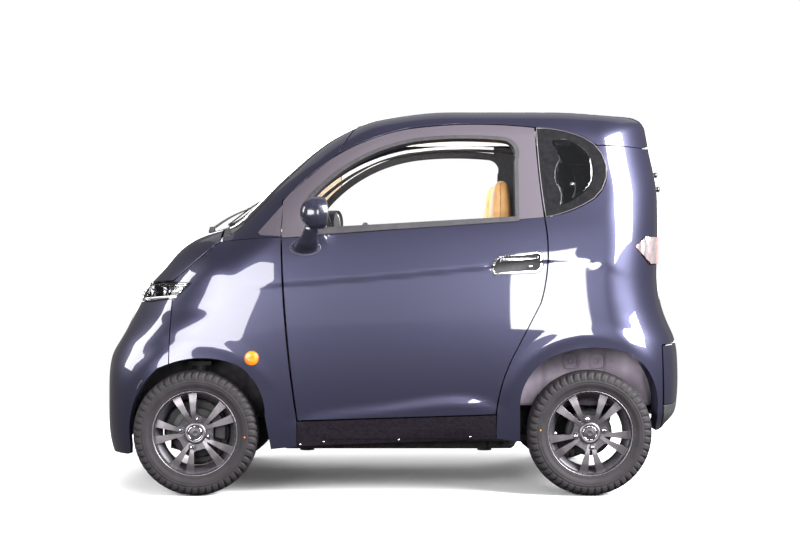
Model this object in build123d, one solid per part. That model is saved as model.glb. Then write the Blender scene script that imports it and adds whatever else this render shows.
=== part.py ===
from build123d import *

import os
from collections import namedtuple
from math import atan2, sqrt, tan

# Two-seat electric microcar: body panels over a tubular chassis, four road wheels, steered front
# knuckles, two doors, a bonnet and a tailgate.
#
# Frame, millimetres: +X towards the nose, +Y to the car's left, +Z up. The origin is on the ground
# under the middle of the car. Left-hand pieces are modelled and mirrored to the right.

# ---------------------------------------------------------------- driving dimensions
WHEELBASE = 1570
FRONT_AXLE_X = 787
TRACK = 1255                # between the wheels' middle planes
TYRE_R = 250                # 145/70 R12, standing
TYRE_W = 145
BEAD_R = 152
RIM_FLANGE_R = 170
RIM_W = 124                 # over the flanges

SIDE_WALL = 42              # door and side wall thickness
TOP_WALL = 32               # roof, bonnet and pillar thickness
END_WALL = 40               # nose and tail thickness
GLASS = 6
GLASS_LAND = 28             # bonded edge of a pane
GAP = 6                     # shut line round everything that opens
HINGE_PIN_R = 2.4
PROUD = 8                   # lamps' and handles' height over the skin
SOFT_CLEARANCE = 0.3        # under a cushion
TRIM_CLEARANCE = 12         # dashboard to side wall

FLOOR_Z = 215               # underside of the floor pan
FLOOR_T = 15
DECK_Z = 612                # underside of the load floor
RAIL_Y = 330
RAIL_W = 50
RAIL_H = 60
RAIL_LOW_Z = FLOOR_Z - RAIL_H / 2
RAIL_HIGH_Z = 400
JACK_PAD_R = 30
JACK_PAD_H = 8
TOW_EYE_R = 8
TOW_EYE_DEPTH = 34
TOW_EYE_Y = 270
TOW_CAP_R = 18

LINER_ROOM = 10             # wheel arch edge to liner
LINER_T = 5
LINER_Y = 442               # liner's inner edge

KINGPIN_Y = 580
KINGPIN_R = 9
SLEEVE_R = 17
SLEEVE_H = 120
ARM_T = 30
ARM_DROP = 80               # axle to the middle of either wishbone
ARM_SPREAD = 120            # wishbone leg's foot from the axle line
PIVOT_CLEARANCE = 5
STUB_R = 17
RUNNING = 0.06              # radial clearance of a turning fit
SPRING_R = 32
FRONT_SPRING_Y = 470
REAR_SPRING_Y = 398
AXLE_TUBE_R = 32

SEAT_Y = 262
SEAT_W = 430
HEADREST_W = 250
CUSHION_Z = 395
COLUMN_R = 10
COLUMN_TUBE_R = 26
COLUMN_L = 290
SHAFT_L = 150
HUB_T = 44                  # steering wheel's boss

REAR_AXLE_X = FRONT_AXLE_X - WHEELBASE
AXLE_Z = TYRE_R
WHEEL_Y = TRACK / 2
FAR = 2000                  # reach of cutting tools

# Body cross-sections: a bottom line, side arcs, tumblehome lines, rounded corners and a crown.
Section = namedtuple(
    "Section", "x y_sill y_wide z_wide y_belt z_belt y_corner z_corner bend z_top")
SECTIONS = [
    Section(1300, 664, 690, 480, 655, 700, 590, 822, 110, 855),
    Section(1050, 664, 690, 480, 655, 700, 590, 822, 110, 855),
    Section(930, 675, 698, 500, 665, 790, 588, 930, 125, 968),
    Section(800, 680, 700, 520, 668, 860, 592, 1012, 130, 1054),
    Section(700, 673, 700, 540, 670, 910, 604, 1044, 110, 1085),
    Section(655, 668, 701, 555, 671, 940, 606, 1052, 100, 1112),
    Section(600, 662, 702, 570, 671, 975, 604, 1098, 100, 1162),
    Section(434, 650, 703, 600, 672, 1030, 592, 1264, 110, 1325),
    Section(236, 642, 705, 620, 672, 1045, 546, 1426, 90, 1476),
    Section(60, 640, 706, 620, 672, 1060, 523, 1504, 80, 1538),
    Section(-234, 640, 708, 620, 673, 1080, 515, 1538, 80, 1568),
    Section(-650, 655, 712, 620, 676, 1100, 515, 1538, 80, 1567),
    Section(-950, 670, 712, 620, 676, 1100, 512, 1515, 80, 1547),
    Section(-1300, 670, 708, 620, 672, 1100, 505, 1488, 80, 1520),
]
SECTION_FOOT = 120

# Plan rings at heights z: the middle of the nose and tail and the half width between them.
Ring = namedtuple("Ring", "z x_front x_rear y_side")
RINGS = [
    Ring(100, 1180, -1110, 724),
    Ring(181, 1208, -1125, 724),
    Ring(256, 1217, -1157, 724),
    Ring(313, 1217, -1207, 724),
    Ring(445, 1217, -1217, 724),
    Ring(545, 1205, -1214, 724),
    Ring(610, 1164, -1203, 724),
    Ring(676, 1131, -1174, 724),
    Ring(745, 1096, -1149, 724),
    Ring(845, 1064, -1132, 724),
    Ring(1039, 1064, -1135, 718),
    Ring(1204, 1064, -1133, 652),
    Ring(1406, 1064, -1096, 584),
    Ring(1484, 1064, -1078, 562),
    Ring(1525, 1064, -1034, 552),
    Ring(1640, 1064, -900, 532),
]
RING_BOW = 50               # how far a nose or tail falls back at 0.6 of the half width
RING_CORNER = 0.36          # corner length over the half width

# Outlines in side view, (x, z): a start and then points, for lines, or (via, point), for arcs.
DOOR = ((378, 303), [
    ((423, 690), (442, 1031)), (443, 1176), ((219, 1366), (-61, 1470)), ((-300, 1489), (-572, 1475)),
    ((-581, 1300), (-600, 1100)), ((-610, 930), (-582, 768)), (-480, 570), ((-432, 455), (-406, 328)),
    (378, 303)])
WINDOW = ((300, 1068), [
    (-500, 1112), (-502, 1345), ((-492, 1412), (-440, 1436)), ((-270, 1443), (-100, 1432)),
    ((139, 1353), (338, 1193)), (300, 1068)])
BELT = ((-700, 1117), [(312, 1035), (600, 1017), (600, 1700), (-700, 1700), (-700, 1117)])
FRONT_ARCH = ((1050, 0), [
    (1059, 229), ((1030, 388), (933, 511)), ((770, 551), (615, 522)), ((540, 445), (509, 320)),
    (486, 186), (486, 0), (1050, 0)])
REAR_ARCH = ((-506, 0), [
    (-503, 345), ((-540, 478), (-622, 553)), ((-775, 592), (-945, 565)), ((-1028, 475), (-1056, 340)),
    (-1059, 0), (-506, 0)])
ABOVE_GROUND_LINE = ((1400, 152), [
    (1050, 166), (482, 186), (375, 198), (-28, 214), (-426, 228), (-506, 214), (-1058, 250),
    (-1400, 250), (-1400, 1800), (1400, 1800), (1400, 152)])
FRONT_BUMPER = ((890, 0), [(890, 783), (984, 770), (1400, 765), (1400, 0), (890, 0)])
LAMP_BAND = ((808, 847), [
    (871, 786), (890, 783), (984, 770), (1400, 765), (1400, 842), (893, 850), (808, 847)])
BONNET_SIDE = ((1400, 842), [
    (893, 850), (697, 1016), (684, 1052), (684, 1400), (1400, 1400), (1400, 842)])
WING = ((378, 0), [
    (378, 320), (430, 1031), (611, 1022), (720, 1014), (900, 860), (890, 845), (890, 0), (378, 0)])
SILL = ((-412, 0), [(378, 0), (378, 320), (-412, 345), (-412, 0)])
PILLAR = ((430, 1031), [
    (611, 1022), (720, 1014), (720, 1800), (219, 1800), (219, 1340), (430, 1031)])
ROOF = ((219, 1340), [
    (219, 1800), (-1400, 1800), (-1400, 1392), (-800, 1404), (-790, 1340), (219, 1340)])
QUARTER = ((-412, 0), [
    (-412, 350), (-560, 1340), (-790, 1340), (-800, 1404), (-1400, 1392), (-1400, 600), (-1074, 600),
    (-1081, 0), (-412, 0)])
REAR_BUMPER = ((-1074, 600), [(-1400, 600), (-1400, 0), (-1081, 0), (-1074, 600)])
QUARTER_GLASS = ((-560, 1476), [
    ((-680, 1464), (-770, 1436)), ((-858, 1300), (-770, 1165)), ((-690, 1128), (-560, 1104)),
    (-560, 1476)])
TAIL_LAMP = ((-965, 993), [(-1012, 1034), (-1400, 1033), (-1400, 923), (-1030, 923), (-965, 993)])
HANDLE = ((-420, 968), [
    (-560, 955), ((-588, 930), (-570, 905)), (-545, 882), (-440, 888), ((-398, 912), (-396, 945)),
    ((-402, 962), (-420, 968))])
HEADLAMP_Y = 330            # lamp's inner end
TAIL_LAMP_Y = 460
INDICATOR = (559, 551, 31)  # x, z, radius

# Outlines in plan, (x, y).
BONNET_REAR_X = 694
BONNET_REAR_BOW = 100
BONNET_HINGE_Y = 440        # where the rear edge turns from straight to bowed
WINDSCREEN = ((650, -545), [
    ((700, 0), (650, 545)), (150, 425), ((118, 0), (150, -425)), (650, -545)])
COWL_Y = 545

# Outlines seen from behind, (y, z).
TAILGATE = ((-400, 606), [
    (400, 606), (425, 660), (425, 1180), (395, 1400), (-395, 1400), (-425, 1180), (-425, 660),
    (-400, 606)])
TAILGATE_GLASS = ((-378, 1010), [
    (378, 1010), (384, 1170), (352, 1340), (-352, 1340), (-384, 1170), (-378, 1010)])

DOOR_HINGE_X = 422
DOOR_HINGE_Z = 640
DOOR_HINGE_LEAN = 0.095     # the hinge line's rise forward, over its height
DOOR_HINGE_Y = 704
BONNET_HINGE_Z = 1062
TAILGATE_HINGE_X = -1098
TAILGATE_TOP_Z = 1400


FRONT_ARCH_TOP_Z = 551

# Cabin outlines in side view.
DASH = ((655, 1024), [
    (370, 1006), ((318, 985), (302, 930)), (345, 790), (440, 712), (505, 712), (505, 965), (655, 990),
    (655, 1024)])
CUSHION = ((-370, CUSHION_Z), [
    (85, CUSHION_Z), ((122, 450), (92, 512)), (-330, 498), (-395, 480), (-370, CUSHION_Z)])
SEAT_BACK = ((-395, 480 + SOFT_CLEARANCE), [
    (-345, 494 + SOFT_CLEARANCE), ((-352, 820), (-393, 1125)), (-494, 1125), ((-478, 800), (-470, 500)),
    (-395, 480 + SOFT_CLEARANCE)])
HEADREST = ((-393, 1120), [
    (-393, 1234), ((-412, 1284), (-447, 1289)), ((-478, 1277), (-486, 1240)), (-494, 1120),
    (-393, 1120)])
STEERING_HUB = (45, SEAT_Y, 930)
STEERING_SLOPE = 2.1        # column's run for each unit of fall
STEERING_WHEEL_R = 172
STEERING_RIM_R = 14

JACK_PAD_X = (360, -380)
CROSS_MEMBERS = ((1110, RAIL_HIGH_Z), (440, RAIL_LOW_Z), (-430, RAIL_LOW_Z), (-1095, RAIL_HIGH_Z + 70))
FRAME_NOSE_X = 1130
HUB_BACK = 28               # wheel's middle to the back of its hub
STUB_REACH = 20             # wheel's middle to the stub's end
SPOKE_PAIRS = 5
RIM_ENVELOPE = ((0, -70), [(RIM_FLANGE_R, -70), (RIM_FLANGE_R, 63), (0, 63), (0, -70)])


# ---------------------------------------------------------------- drawing helpers
def mix(a, b, share):
    """The point a share of the way from a to b."""
    return tuple(p + (q - p) * share for p, q in zip(a, b))


def bezier_mid(start, control, end):
    """A point on the round corner between two tangents that meet at control."""
    return tuple(0.25 * p + 0.5 * c + 0.25 * q for p, c, q in zip(start, control, end))


def wire_of(outline, lift):
    """A closed wire. A step is a point, for a line, or (via, point), for an arc."""
    here, steps = outline
    edges = []
    for step in steps:
        if isinstance(step[0], tuple):
            via, there = step
            edges.append(Edge.make_three_point_arc(lift(here), lift(via), lift(there)))
        else:
            there = step
            edges.append(Edge.make_line(lift(here), lift(there)))
        here = there
    return Wire(edges)


def turned(start, via, end, at):
    """An arc's direction of travel at one of its points, or a line's if it has no via point."""
    if via is None:
        way = (end[0] - start[0], end[1] - start[1])
    else:
        (ax, ay), (bx, by), (cx, cy) = start, via, end
        twist = (bx - ax) * (cy - ay) - (by - ay) * (cx - ax)
        b2 = (bx - ax) ** 2 + (by - ay) ** 2
        c2 = (cx - ax) ** 2 + (cy - ay) ** 2
        centre = (ax + ((cy - ay) * b2 - (by - ay) * c2) / (2 * twist),
                  ay + ((bx - ax) * c2 - (cx - ax) * b2) / (2 * twist))
        sense = 1 if twist > 0 else -1
        way = (-sense * (at[1] - centre[1]), sense * (at[0] - centre[0]))
    length = sqrt(way[0] ** 2 + way[1] ** 2)
    return way[0] / length, way[1] / length


def grown(outline, by):
    """An outline moved outwards, or inwards if by is negative, with mitred corners."""
    if not by:
        return outline
    start, steps = outline
    pieces, here = [], start
    for step in steps:
        via, there = step if isinstance(step[0], tuple) else (None, step)
        pieces.append((here, via, there))
        here = there
    area = sum(a[0] * b[1] - b[0] * a[1] for a, _, b in pieces)
    by = by if area > 0 else -by

    def out(way):
        return way[1], -way[0]

    corners = []
    for before, after in zip([pieces[-1], *pieces], pieces):
        corner = after[0]
        n, m = out(turned(*before, corner)), out(turned(*after, corner))
        reach = by / (1 + n[0] * m[0] + n[1] * m[1])
        corners.append((corner[0] + (n[0] + m[0]) * reach, corner[1] + (n[1] + m[1]) * reach))
    new_steps = []
    for piece, there in zip(pieces, [*corners[1:], corners[0]]):
        via = piece[1]
        if via is None:
            new_steps.append(there)
        else:
            n = out(turned(*piece, via))
            new_steps.append(((via[0] + n[0] * by, via[1] + n[1] * by), there))
    return corners[0], new_steps


def side_prism(outline, by=0, y_low=-FAR, y_high=FAR):
    """A side view outline, moved outwards, carried across the car."""
    face = Face(wire_of(grown(outline, by), lambda p: Vector(p[0], y_low, p[1])))
    return Solid.extrude(face, Vector(0, y_high - y_low, 0))


def plan_prism(outline, by=0, z_low=-FAR, z_high=FAR):
    """A plan outline, moved outwards, carried upwards."""
    face = Face(wire_of(grown(outline, by), lambda p: Vector(p[0], p[1], z_low)))
    return Solid.extrude(face, Vector(0, 0, z_high - z_low))


def end_prism(outline, by=0, x_low=-FAR, x_high=FAR):
    """An outline seen from an end, moved outwards, carried along the car."""
    face = Face(wire_of(grown(outline, by), lambda p: Vector(x_low, p[0], p[1])))
    return Solid.extrude(face, Vector(x_high - x_low, 0, 0))


def block(x, y, z):
    """A box from three (low, high) pairs."""
    size = [b - a for a, b in (x, y, z)]
    centre = [(a + b) / 2 for a, b in (x, y, z)]
    return Pos(*centre) * Box(*size)


def rod(start, end, radius, end_radius=None):
    """A round bar between two points, tapered if its end has a radius of its own."""
    way = Vector(*end) - Vector(*start)
    plane = Plane(origin=start, z_dir=way)
    if end_radius is None:
        return Solid.make_cylinder(radius, way.length, plane)
    return Solid.make_cone(radius, end_radius, way.length, plane)


def cross_rod(x, z, radius, y_low, y_high):
    """A round bar along Y."""
    return rod((x, y_low, z), (x, y_high, z), radius)


def bar(points, y, width, height):
    """A box section rail through side view points, rounded where it bends."""
    pieces = []
    for (xa, za), (xb, zb) in zip(points, points[1:]):
        length = sqrt((xb - xa) ** 2 + (zb - za) ** 2)
        place = Plane(origin=((xa + xb) / 2, y, (za + zb) / 2), x_dir=(xb - xa, 0, zb - za),
                      z_dir=(za - zb, 0, xb - xa))
        pieces.append(place * Box(length, width, height))
    bends = [cross_rod(x, z, height / 2, y - width / 2, y + width / 2) for x, z in points[1:-1]]
    return fused(*pieces, *bends)


def mirrored(shape):
    """The right-hand twin of a left-hand piece."""
    return shape.mirror(Plane.XZ)


def both(shape):
    """A left-hand piece and its twin."""
    return Compound([*shape.solids(), *mirrored(shape).solids()])


def fused(first, *others):
    """One shape from pieces that meet."""
    for other in others:
        first = first + other
    return first


def left(shape):
    """The left-hand solids of a symmetric shape."""
    return Compound([s for s in shape.solids() if s.center().Y > 0])


def write(name, shape):
    """Writes a node's solids."""
    solids = shape.solids()
    export_step(solids[0] if len(solids) == 1 else Compound(solids), f"parts/{name}.step")
    print(name, len(solids), round(sum(s.volume for s in solids) / 1e6, 2), "litres")


# ---------------------------------------------------------------- the body's form
def section_wire(s, side, top):
    """A cross-section, taken in by side and top wall thicknesses."""
    foot = SECTION_FOOT - side
    sill, wide = (s.y_sill - side, foot), (s.y_wide - side, s.z_wide)
    belt, corner = (s.y_belt - side, s.z_belt), (s.y_corner - side, s.z_corner - top)
    crest = (0, s.z_top - top)
    reach = sqrt((belt[0] - corner[0]) ** 2 + (belt[1] - corner[1]) ** 2)
    low = mix(corner, belt, s.bend / reach)
    high = (corner[0] - s.bend, corner[1] + s.bend * 0.12)
    turn = bezier_mid(low, corner, high)

    def flip(p):
        return (-p[0], p[1])

    steps = [
        (wide, belt), low, (turn, high), (crest, flip(high)),
        (flip(turn), flip(low)), flip(belt), (flip(wide), flip(sill)), sill,
    ]
    return wire_of((sill, steps), lambda p: Vector(s.x, p[0], p[1]))


def ring_wire(r, end):
    """A plan ring, taken in by an end wall thickness."""
    def half(x_end, sense):
        bow_y = 0.6 * r.y_side
        bow = (x_end - sense * RING_BOW, bow_y)
        lean = tan(2 * atan2(RING_BOW, bow_y))
        control = (bow[0] - sense * (r.y_side - bow_y) * lean, r.y_side)
        side = (control[0] - sense * RING_CORNER * r.y_side, r.y_side)
        return bow, bezier_mid(bow, control, side), side

    def flip(p):
        return (p[0], -p[1])

    front, front_turn, front_side = half(r.x_front - end, 1)
    rear, rear_turn, rear_side = half(r.x_rear + end, -1)
    steps = [
        (front_turn, front_side), rear_side, (rear_turn, rear),
        ((r.x_rear + end, 0), flip(rear)), (flip(rear_turn), flip(rear_side)),
        flip(front_side), (flip(front_turn), flip(front)), ((r.x_front - end, 0), front),
    ]
    return wire_of((front, steps), lambda p: Vector(p[0], p[1], r.z))


def body_form(side, top, end):
    """The whole body's outer form, taken in by wall thicknesses."""
    along = Solid.make_loft([section_wire(s, side, top) for s in SECTIONS], ruled=True)
    upright = Solid.make_loft([ring_wire(r, end) for r in RINGS], ruled=True)
    return along & upright


def bonnet_plan():
    """The bonnet's opening in plan: straight at the hinges and bowed forward between them."""
    x, bowed, y = BONNET_REAR_X, BONNET_REAR_X + BONNET_REAR_BOW, BONNET_HINGE_Y
    return (1400, -FAR / 2), [
        (1400, FAR / 2), (x, FAR / 2), (x, y), ((bowed, 0), (x, -y)), (x, -FAR / 2), (1400, -FAR / 2)]


# ---------------------------------------------------------------- body panels
def make_body():
    """The painted panels, panes and lamps, cut from one shell along their shut lines."""
    outer = body_form(0, 0, 0)
    inner = body_form(SIDE_WALL, TOP_WALL, END_WALL)
    skin = outer - body_form(GLASS, GLASS, GLASS)
    proud = body_form(-PROUD, -PROUD, -PROUD) - outer
    shell = (outer - inner) & side_prism(ABOVE_GROUND_LINE)
    shell = shell - side_prism(FRONT_ARCH) - side_prism(REAR_ARCH)

    door_side = side_prism(DOOR)
    door_hole = side_prism(DOOR, GAP)
    tailgate_hole = end_prism(TAILGATE, GAP, x_high=-900)
    bonnet_hole = side_prism(BONNET_SIDE) & plan_prism(bonnet_plan())
    fixed = shell - door_hole - tailgate_hole - bonnet_hole

    windscreen = skin & plan_prism(WINDSCREEN, z_low=950)
    quarter_glass = (skin & side_prism(QUARTER_GLASS)) - door_hole
    tailgate_glass = skin & end_prism(TAILGATE_GLASS, x_high=-900)
    screens = fused(
        plan_prism(WINDSCREEN, -GLASS_LAND, z_low=950),
        side_prism(QUARTER_GLASS, -GLASS_LAND) - side_prism(DOOR, GAP + GLASS_LAND))
    fixed = fixed - windscreen - quarter_glass - screens

    cowl_block = block(
        (WINDSCREEN[0][0], BONNET_REAR_X + BONNET_REAR_BOW + 30), (-COWL_Y, COWL_Y), (950, 1300))
    lamp_band = side_prism(LAMP_BAND)
    indicator_x, indicator_z, indicator_r = INDICATOR
    indicator = cross_rod(indicator_x, indicator_z, indicator_r, -FAR, FAR)
    tail_lamp = side_prism(TAIL_LAMP) - block((-FAR, 0), (-TAIL_LAMP_Y, TAIL_LAMP_Y), (800, 1200))
    tow_cap = rod((1000, TOW_EYE_Y, RAIL_HIGH_Z), (1400, TOW_EYE_Y, RAIL_HIGH_Z), TOW_CAP_R)
    pieces = {
        "windscreen": windscreen,
        "quarter_glass": quarter_glass,
        "cowl": fixed & cowl_block,
        "front_bumper": (fixed & side_prism(FRONT_BUMPER)) - tow_cap,
        "grille": fixed & lamp_band & block((0, FAR), (-HEADLAMP_Y, HEADLAMP_Y), (600, 1000)),
        "headlamps": (fixed & lamp_band) - block((0, FAR), (-HEADLAMP_Y, HEADLAMP_Y), (600, 1000)),
        "wings": (fixed & side_prism(WING)) - lamp_band - cowl_block,
        "pillars": (fixed & side_prism(PILLAR)) - cowl_block,
        "roof": fixed & side_prism(ROOF),
        "sills": fixed & side_prism(SILL),
        "tail_lamps": fixed & tail_lamp,
        "quarters": (fixed & side_prism(QUARTER)) - tail_lamp,
        "rear_bumper": fixed & side_prism(REAR_BUMPER),
        "indicators": proud & indicator,
    }
    doors = shell & door_side
    frames = doors & side_prism(BELT)
    bonnet_lid = shell & side_prism(BONNET_SIDE, -GAP) & plan_prism(bonnet_plan(), -GAP)
    pieces |= {
        "door_left": left((doors - side_prism(BELT)) - side_prism(WINDOW)),
        "window_frame_left": left(frames - side_prism(WINDOW)),
        "handle_left": left(proud & side_prism(HANDLE)),
        "mirror_left": mirror_shape() - outer,
        "bonnet": bonnet_lid,
        "tailgate": (shell & end_prism(TAILGATE, x_high=-900)) - tailgate_glass
        - end_prism(TAILGATE_GLASS, -GLASS_LAND, x_high=-900),
        "tailgate_glass": tailgate_glass,
    }
    return pieces, outer, inner


def mirror_shape():
    """The left door mirror: a round domed head on a leaning foot."""
    centre = Vector(270, 796, 1122)
    plane = Plane(origin=centre, x_dir=(0, 0, 1), z_dir=(0, 1, 0))
    profile = wire_of(((0, 0), [(62, 0), (66, 12), ((48, 72), (0, 96)), (0, 0)]),
                      lambda p: plane.from_local_coords(Vector(p[0], p[1], 0)))
    head = Solid.revolve(Face(profile), 360, Axis(centre, (1, 0, 0)))
    foot = rod((352, 655, 985), (318, 775, 1092), 44, 17)
    return head + foot


def hinge_pin(point, way, towards, length):
    """A pin in a shut line with the web that carries it: towards is the fixed panel's side."""
    place = Plane(origin=point, x_dir=towards, z_dir=way)
    web = place * Pos(GAP / 2 + 1, 0, length / 2) * Box(GAP + 2, HINGE_PIN_R, length)
    return Solid.make_cylinder(HINGE_PIN_R, length, Plane(origin=point, z_dir=way)) + web


def add_hinge_pins(pieces):
    """Stands the doors', bonnet's and tailgate's pins in their shut lines."""
    way = Vector(DOOR_HINGE_LEAN, 0, 1).normalized()
    for low in (-70, 30):
        point = Vector(DOOR_HINGE_X, DOOR_HINGE_Y, DOOR_HINGE_Z) + way * low
        pieces["wings"] = pieces["wings"] + both(hinge_pin(point, way, (1, 0, 0), 40))
    x, y = BONNET_REAR_X + GAP / 2, BONNET_HINGE_Y + 5
    pieces["cowl"] = pieces["cowl"] + both(hinge_pin((x, y, BONNET_HINGE_Z), (0, 1, 0), (-1, 0, -1), 30))
    x, z = TAILGATE_HINGE_X, TAILGATE_TOP_Z + GAP / 2
    pieces["roof"] = pieces["roof"] + both(hinge_pin((x, 15, z), (0, 1, 0), (0.6, 0, 1), 40))


# ---------------------------------------------------------------- cabin
def make_cabin(inner, frame):
    """The floor tub, dashboard, battery box, seats and steering."""
    tub = fused(
        block((-485, 520), (-FAR, FAR), (FLOOR_Z, FLOOR_Z + FLOOR_T)),
        block((505, 520), (-FAR, FAR), (FLOOR_Z, 1010)),
        side_prism(((-485, FLOOR_Z), [
            (-470, FLOOR_Z), (-505, DECK_Z + FLOOR_T), (-1120, DECK_Z + FLOOR_T), (-1120, DECK_Z),
            (-520, DECK_Z), (-485, FLOOR_Z)])))
    arches = fused(side_prism(FRONT_ARCH, LINER_ROOM + LINER_T), side_prism(REAR_ARCH, LINER_ROOM + LINER_T))
    arches = arches - block((-FAR, FAR), (-LINER_Y, LINER_Y), (-FAR, FAR))
    dash = side_prism(DASH) & body_form(
        SIDE_WALL + TRIM_CLEARANCE, TOP_WALL + TRIM_CLEARANCE, END_WALL + TRIM_CLEARANCE)
    box_top = CUSHION_Z - SOFT_CLEARANCE
    battery = block((-440, -20), (-560, 560), (FLOOR_Z + FLOOR_T, box_top))
    cushion = side_prism(CUSHION, 0, SEAT_Y - SEAT_W / 2, SEAT_Y + SEAT_W / 2)
    back = side_prism(SEAT_BACK, 0, SEAT_Y - SEAT_W / 2, SEAT_Y + SEAT_W / 2)
    head = side_prism(HEADREST, 0, SEAT_Y - HEADREST_W / 2, SEAT_Y + HEADREST_W / 2)
    wheel, column = make_steering()
    return {
        "floor_pan": (tub & inner) - arches - frame,
        "dashboard": dash - tub - column - wheel_shaft(),
        "battery_box": battery,
        "seat_cushions": both(cushion),
        "seat_backs": both(back + head),
        "steering_wheel": wheel,
        "steering_column": column,
    }


def column_plane():
    """The middle of the steering wheel, looking down its column."""
    return Plane(origin=STEERING_HUB, z_dir=(STEERING_SLOPE, 0, -1))


def wheel_shaft():
    """The room inside the steering column."""
    return Solid.make_cylinder(COLUMN_TUBE_R - 1, COLUMN_L - 1, column_plane().offset(HUB_T))


def make_steering():
    """The steering wheel with its shaft, and the column that the shaft turns in."""
    plane = column_plane()
    ring = plane * Solid.make_torus(STEERING_WHEEL_R, STEERING_RIM_R)
    centre = plane * Pos(0, 0, HUB_T / 2 - 8) * Cylinder(38, HUB_T)
    spokes = [plane * Rot(0, 0, a) * Pos(STEERING_WHEEL_R / 2, 0, 4) * Box(STEERING_WHEEL_R, 26, 12)
              for a in (90, 180 + 25, -25)]
    shaft = Solid.make_cylinder(COLUMN_R, SHAFT_L, plane)
    wheel = fused(ring, centre, *spokes, shaft)
    column = Solid.make_cylinder(COLUMN_TUBE_R, COLUMN_L, plane.offset(HUB_T))
    bore = Solid.make_cylinder(COLUMN_R + RUNNING, SHAFT_L, plane)
    return wheel, column - bore


# ---------------------------------------------------------------- chassis and running gear
def make_chassis():
    """The rails, cross members, suspension and rear axle. Returns nodes."""
    kick = (RAIL_LOW_Z, RAIL_HIGH_Z)
    path = [(FRAME_NOSE_X, kick[1]), (600, kick[1]), (440, kick[0]), (-480, kick[0]), (-600, kick[1] + 70),
            (-1115, kick[1] + 70)]
    rail = bar(path, RAIL_Y, RAIL_W, RAIL_H)
    post_x = [FRONT_AXLE_X + side * ARM_SPREAD for side in (-1, 1)]
    low = AXLE_Z - ARM_DROP - ARM_T / 2
    posts = [block((x - 20, x + 20), (RAIL_Y - RAIL_W / 2, RAIL_Y + RAIL_W / 2), (low, RAIL_HIGH_Z))
             for x in post_x]
    spring_top = FRONT_ARCH_TOP_Z - 40
    tower = fused(
        block((FRONT_AXLE_X - 45, FRONT_AXLE_X + 45),
              (RAIL_Y + RAIL_W / 2, FRONT_SPRING_Y + SPRING_R), (spring_top, spring_top + 16)),
        block((FRONT_AXLE_X - 45, FRONT_AXLE_X + 45),
              (RAIL_Y + RAIL_W / 2, RAIL_Y + RAIL_W / 2 + 10), (RAIL_HIGH_Z - 20, spring_top + 16)))
    pads = [rod((x, RAIL_Y, RAIL_LOW_Z - RAIL_H / 2 - JACK_PAD_H), (x, RAIL_Y, RAIL_LOW_Z), JACK_PAD_R)
            for x in JACK_PAD_X]
    side = fused(rail, *posts, tower, *pads)
    half = RAIL_Y - RAIL_W / 2
    tow_socket = rod((FRAME_NOSE_X - TOW_EYE_DEPTH, TOW_EYE_Y, RAIL_HIGH_Z),
                     (FRAME_NOSE_X + 1, TOW_EYE_Y, RAIL_HIGH_Z), TOW_EYE_R)
    crosses = Compound([
        block((x - 20, x + 20), (-half, half), (z - 25, z + 25)) - tow_socket for x, z in CROSS_MEMBERS])

    arms = []
    for sense in (-1, 1):
        z = AXLE_Z + sense * ARM_DROP
        eye = Pos(FRONT_AXLE_X, KINGPIN_Y, z) * Cylinder(20, ARM_T)
        legs = [arm_leg((FRONT_AXLE_X, KINGPIN_Y), (x, RAIL_Y + RAIL_W / 2), z) for x in post_x]
        arms.append(fused(eye, *legs))
    seat = block((FRONT_AXLE_X - 50, FRONT_AXLE_X + 50),
                 (FRONT_SPRING_Y - 28, FRONT_SPRING_Y + 28),
                 (AXLE_Z - ARM_DROP - ARM_T / 2, AXLE_Z - ARM_DROP + ARM_T / 2))
    spring = rod((FRONT_AXLE_X, FRONT_SPRING_Y, AXLE_Z - ARM_DROP + ARM_T / 2),
                 (FRONT_AXLE_X, FRONT_SPRING_Y, spring_top), SPRING_R)
    pin = rod((FRONT_AXLE_X, KINGPIN_Y, AXLE_Z - ARM_DROP), (FRONT_AXLE_X, KINGPIN_Y, AXLE_Z + ARM_DROP),
              KINGPIN_R)
    front = fused(arms[0], seat, spring, pin, arms[1])

    half_tube = WHEEL_Y - HUB_BACK - PIVOT_CLEARANCE
    axle = fused(
        cross_rod(REAR_AXLE_X, AXLE_Z, AXLE_TUBE_R, -half_tube, half_tube),
        cross_rod(REAR_AXLE_X, AXLE_Z, STUB_R, -WHEEL_Y - STUB_REACH, WHEEL_Y + STUB_REACH),
        cross_rod(REAR_AXLE_X, AXLE_Z, 95, -70, 70),
        cross_rod(REAR_AXLE_X + 150, AXLE_Z + 20, 85, -60, 190),
        block((REAR_AXLE_X, REAR_AXLE_X + 150), (-60, 60), (AXLE_Z - 50, AXLE_Z + 60)))
    trail_z = AXLE_Z - AXLE_TUBE_R - 12
    trailing = bar([(-470, RAIL_LOW_Z), (-520, trail_z), (REAR_AXLE_X - 25, trail_z)],
                   REAR_SPRING_Y, 40, 24) + block(
        (-500, -450), (RAIL_Y + RAIL_W / 2, REAR_SPRING_Y + 20), (RAIL_LOW_Z - 15, RAIL_LOW_Z + 15))
    rear_spring = rod((REAR_AXLE_X, REAR_SPRING_Y, AXLE_Z), (REAR_AXLE_X, REAR_SPRING_Y, DECK_Z), SPRING_R)
    rear_spring = rear_spring - cross_rod(REAR_AXLE_X, AXLE_Z, AXLE_TUBE_R, 0, FAR)
    return {
        "chassis_rails": both(side),
        "cross_members": crosses,
        "front_suspension": both(front),
        "rear_suspension": Compound([*both(trailing).solids(), *both(rear_spring).solids()]),
        "rear_axle": axle,
    }


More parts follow.
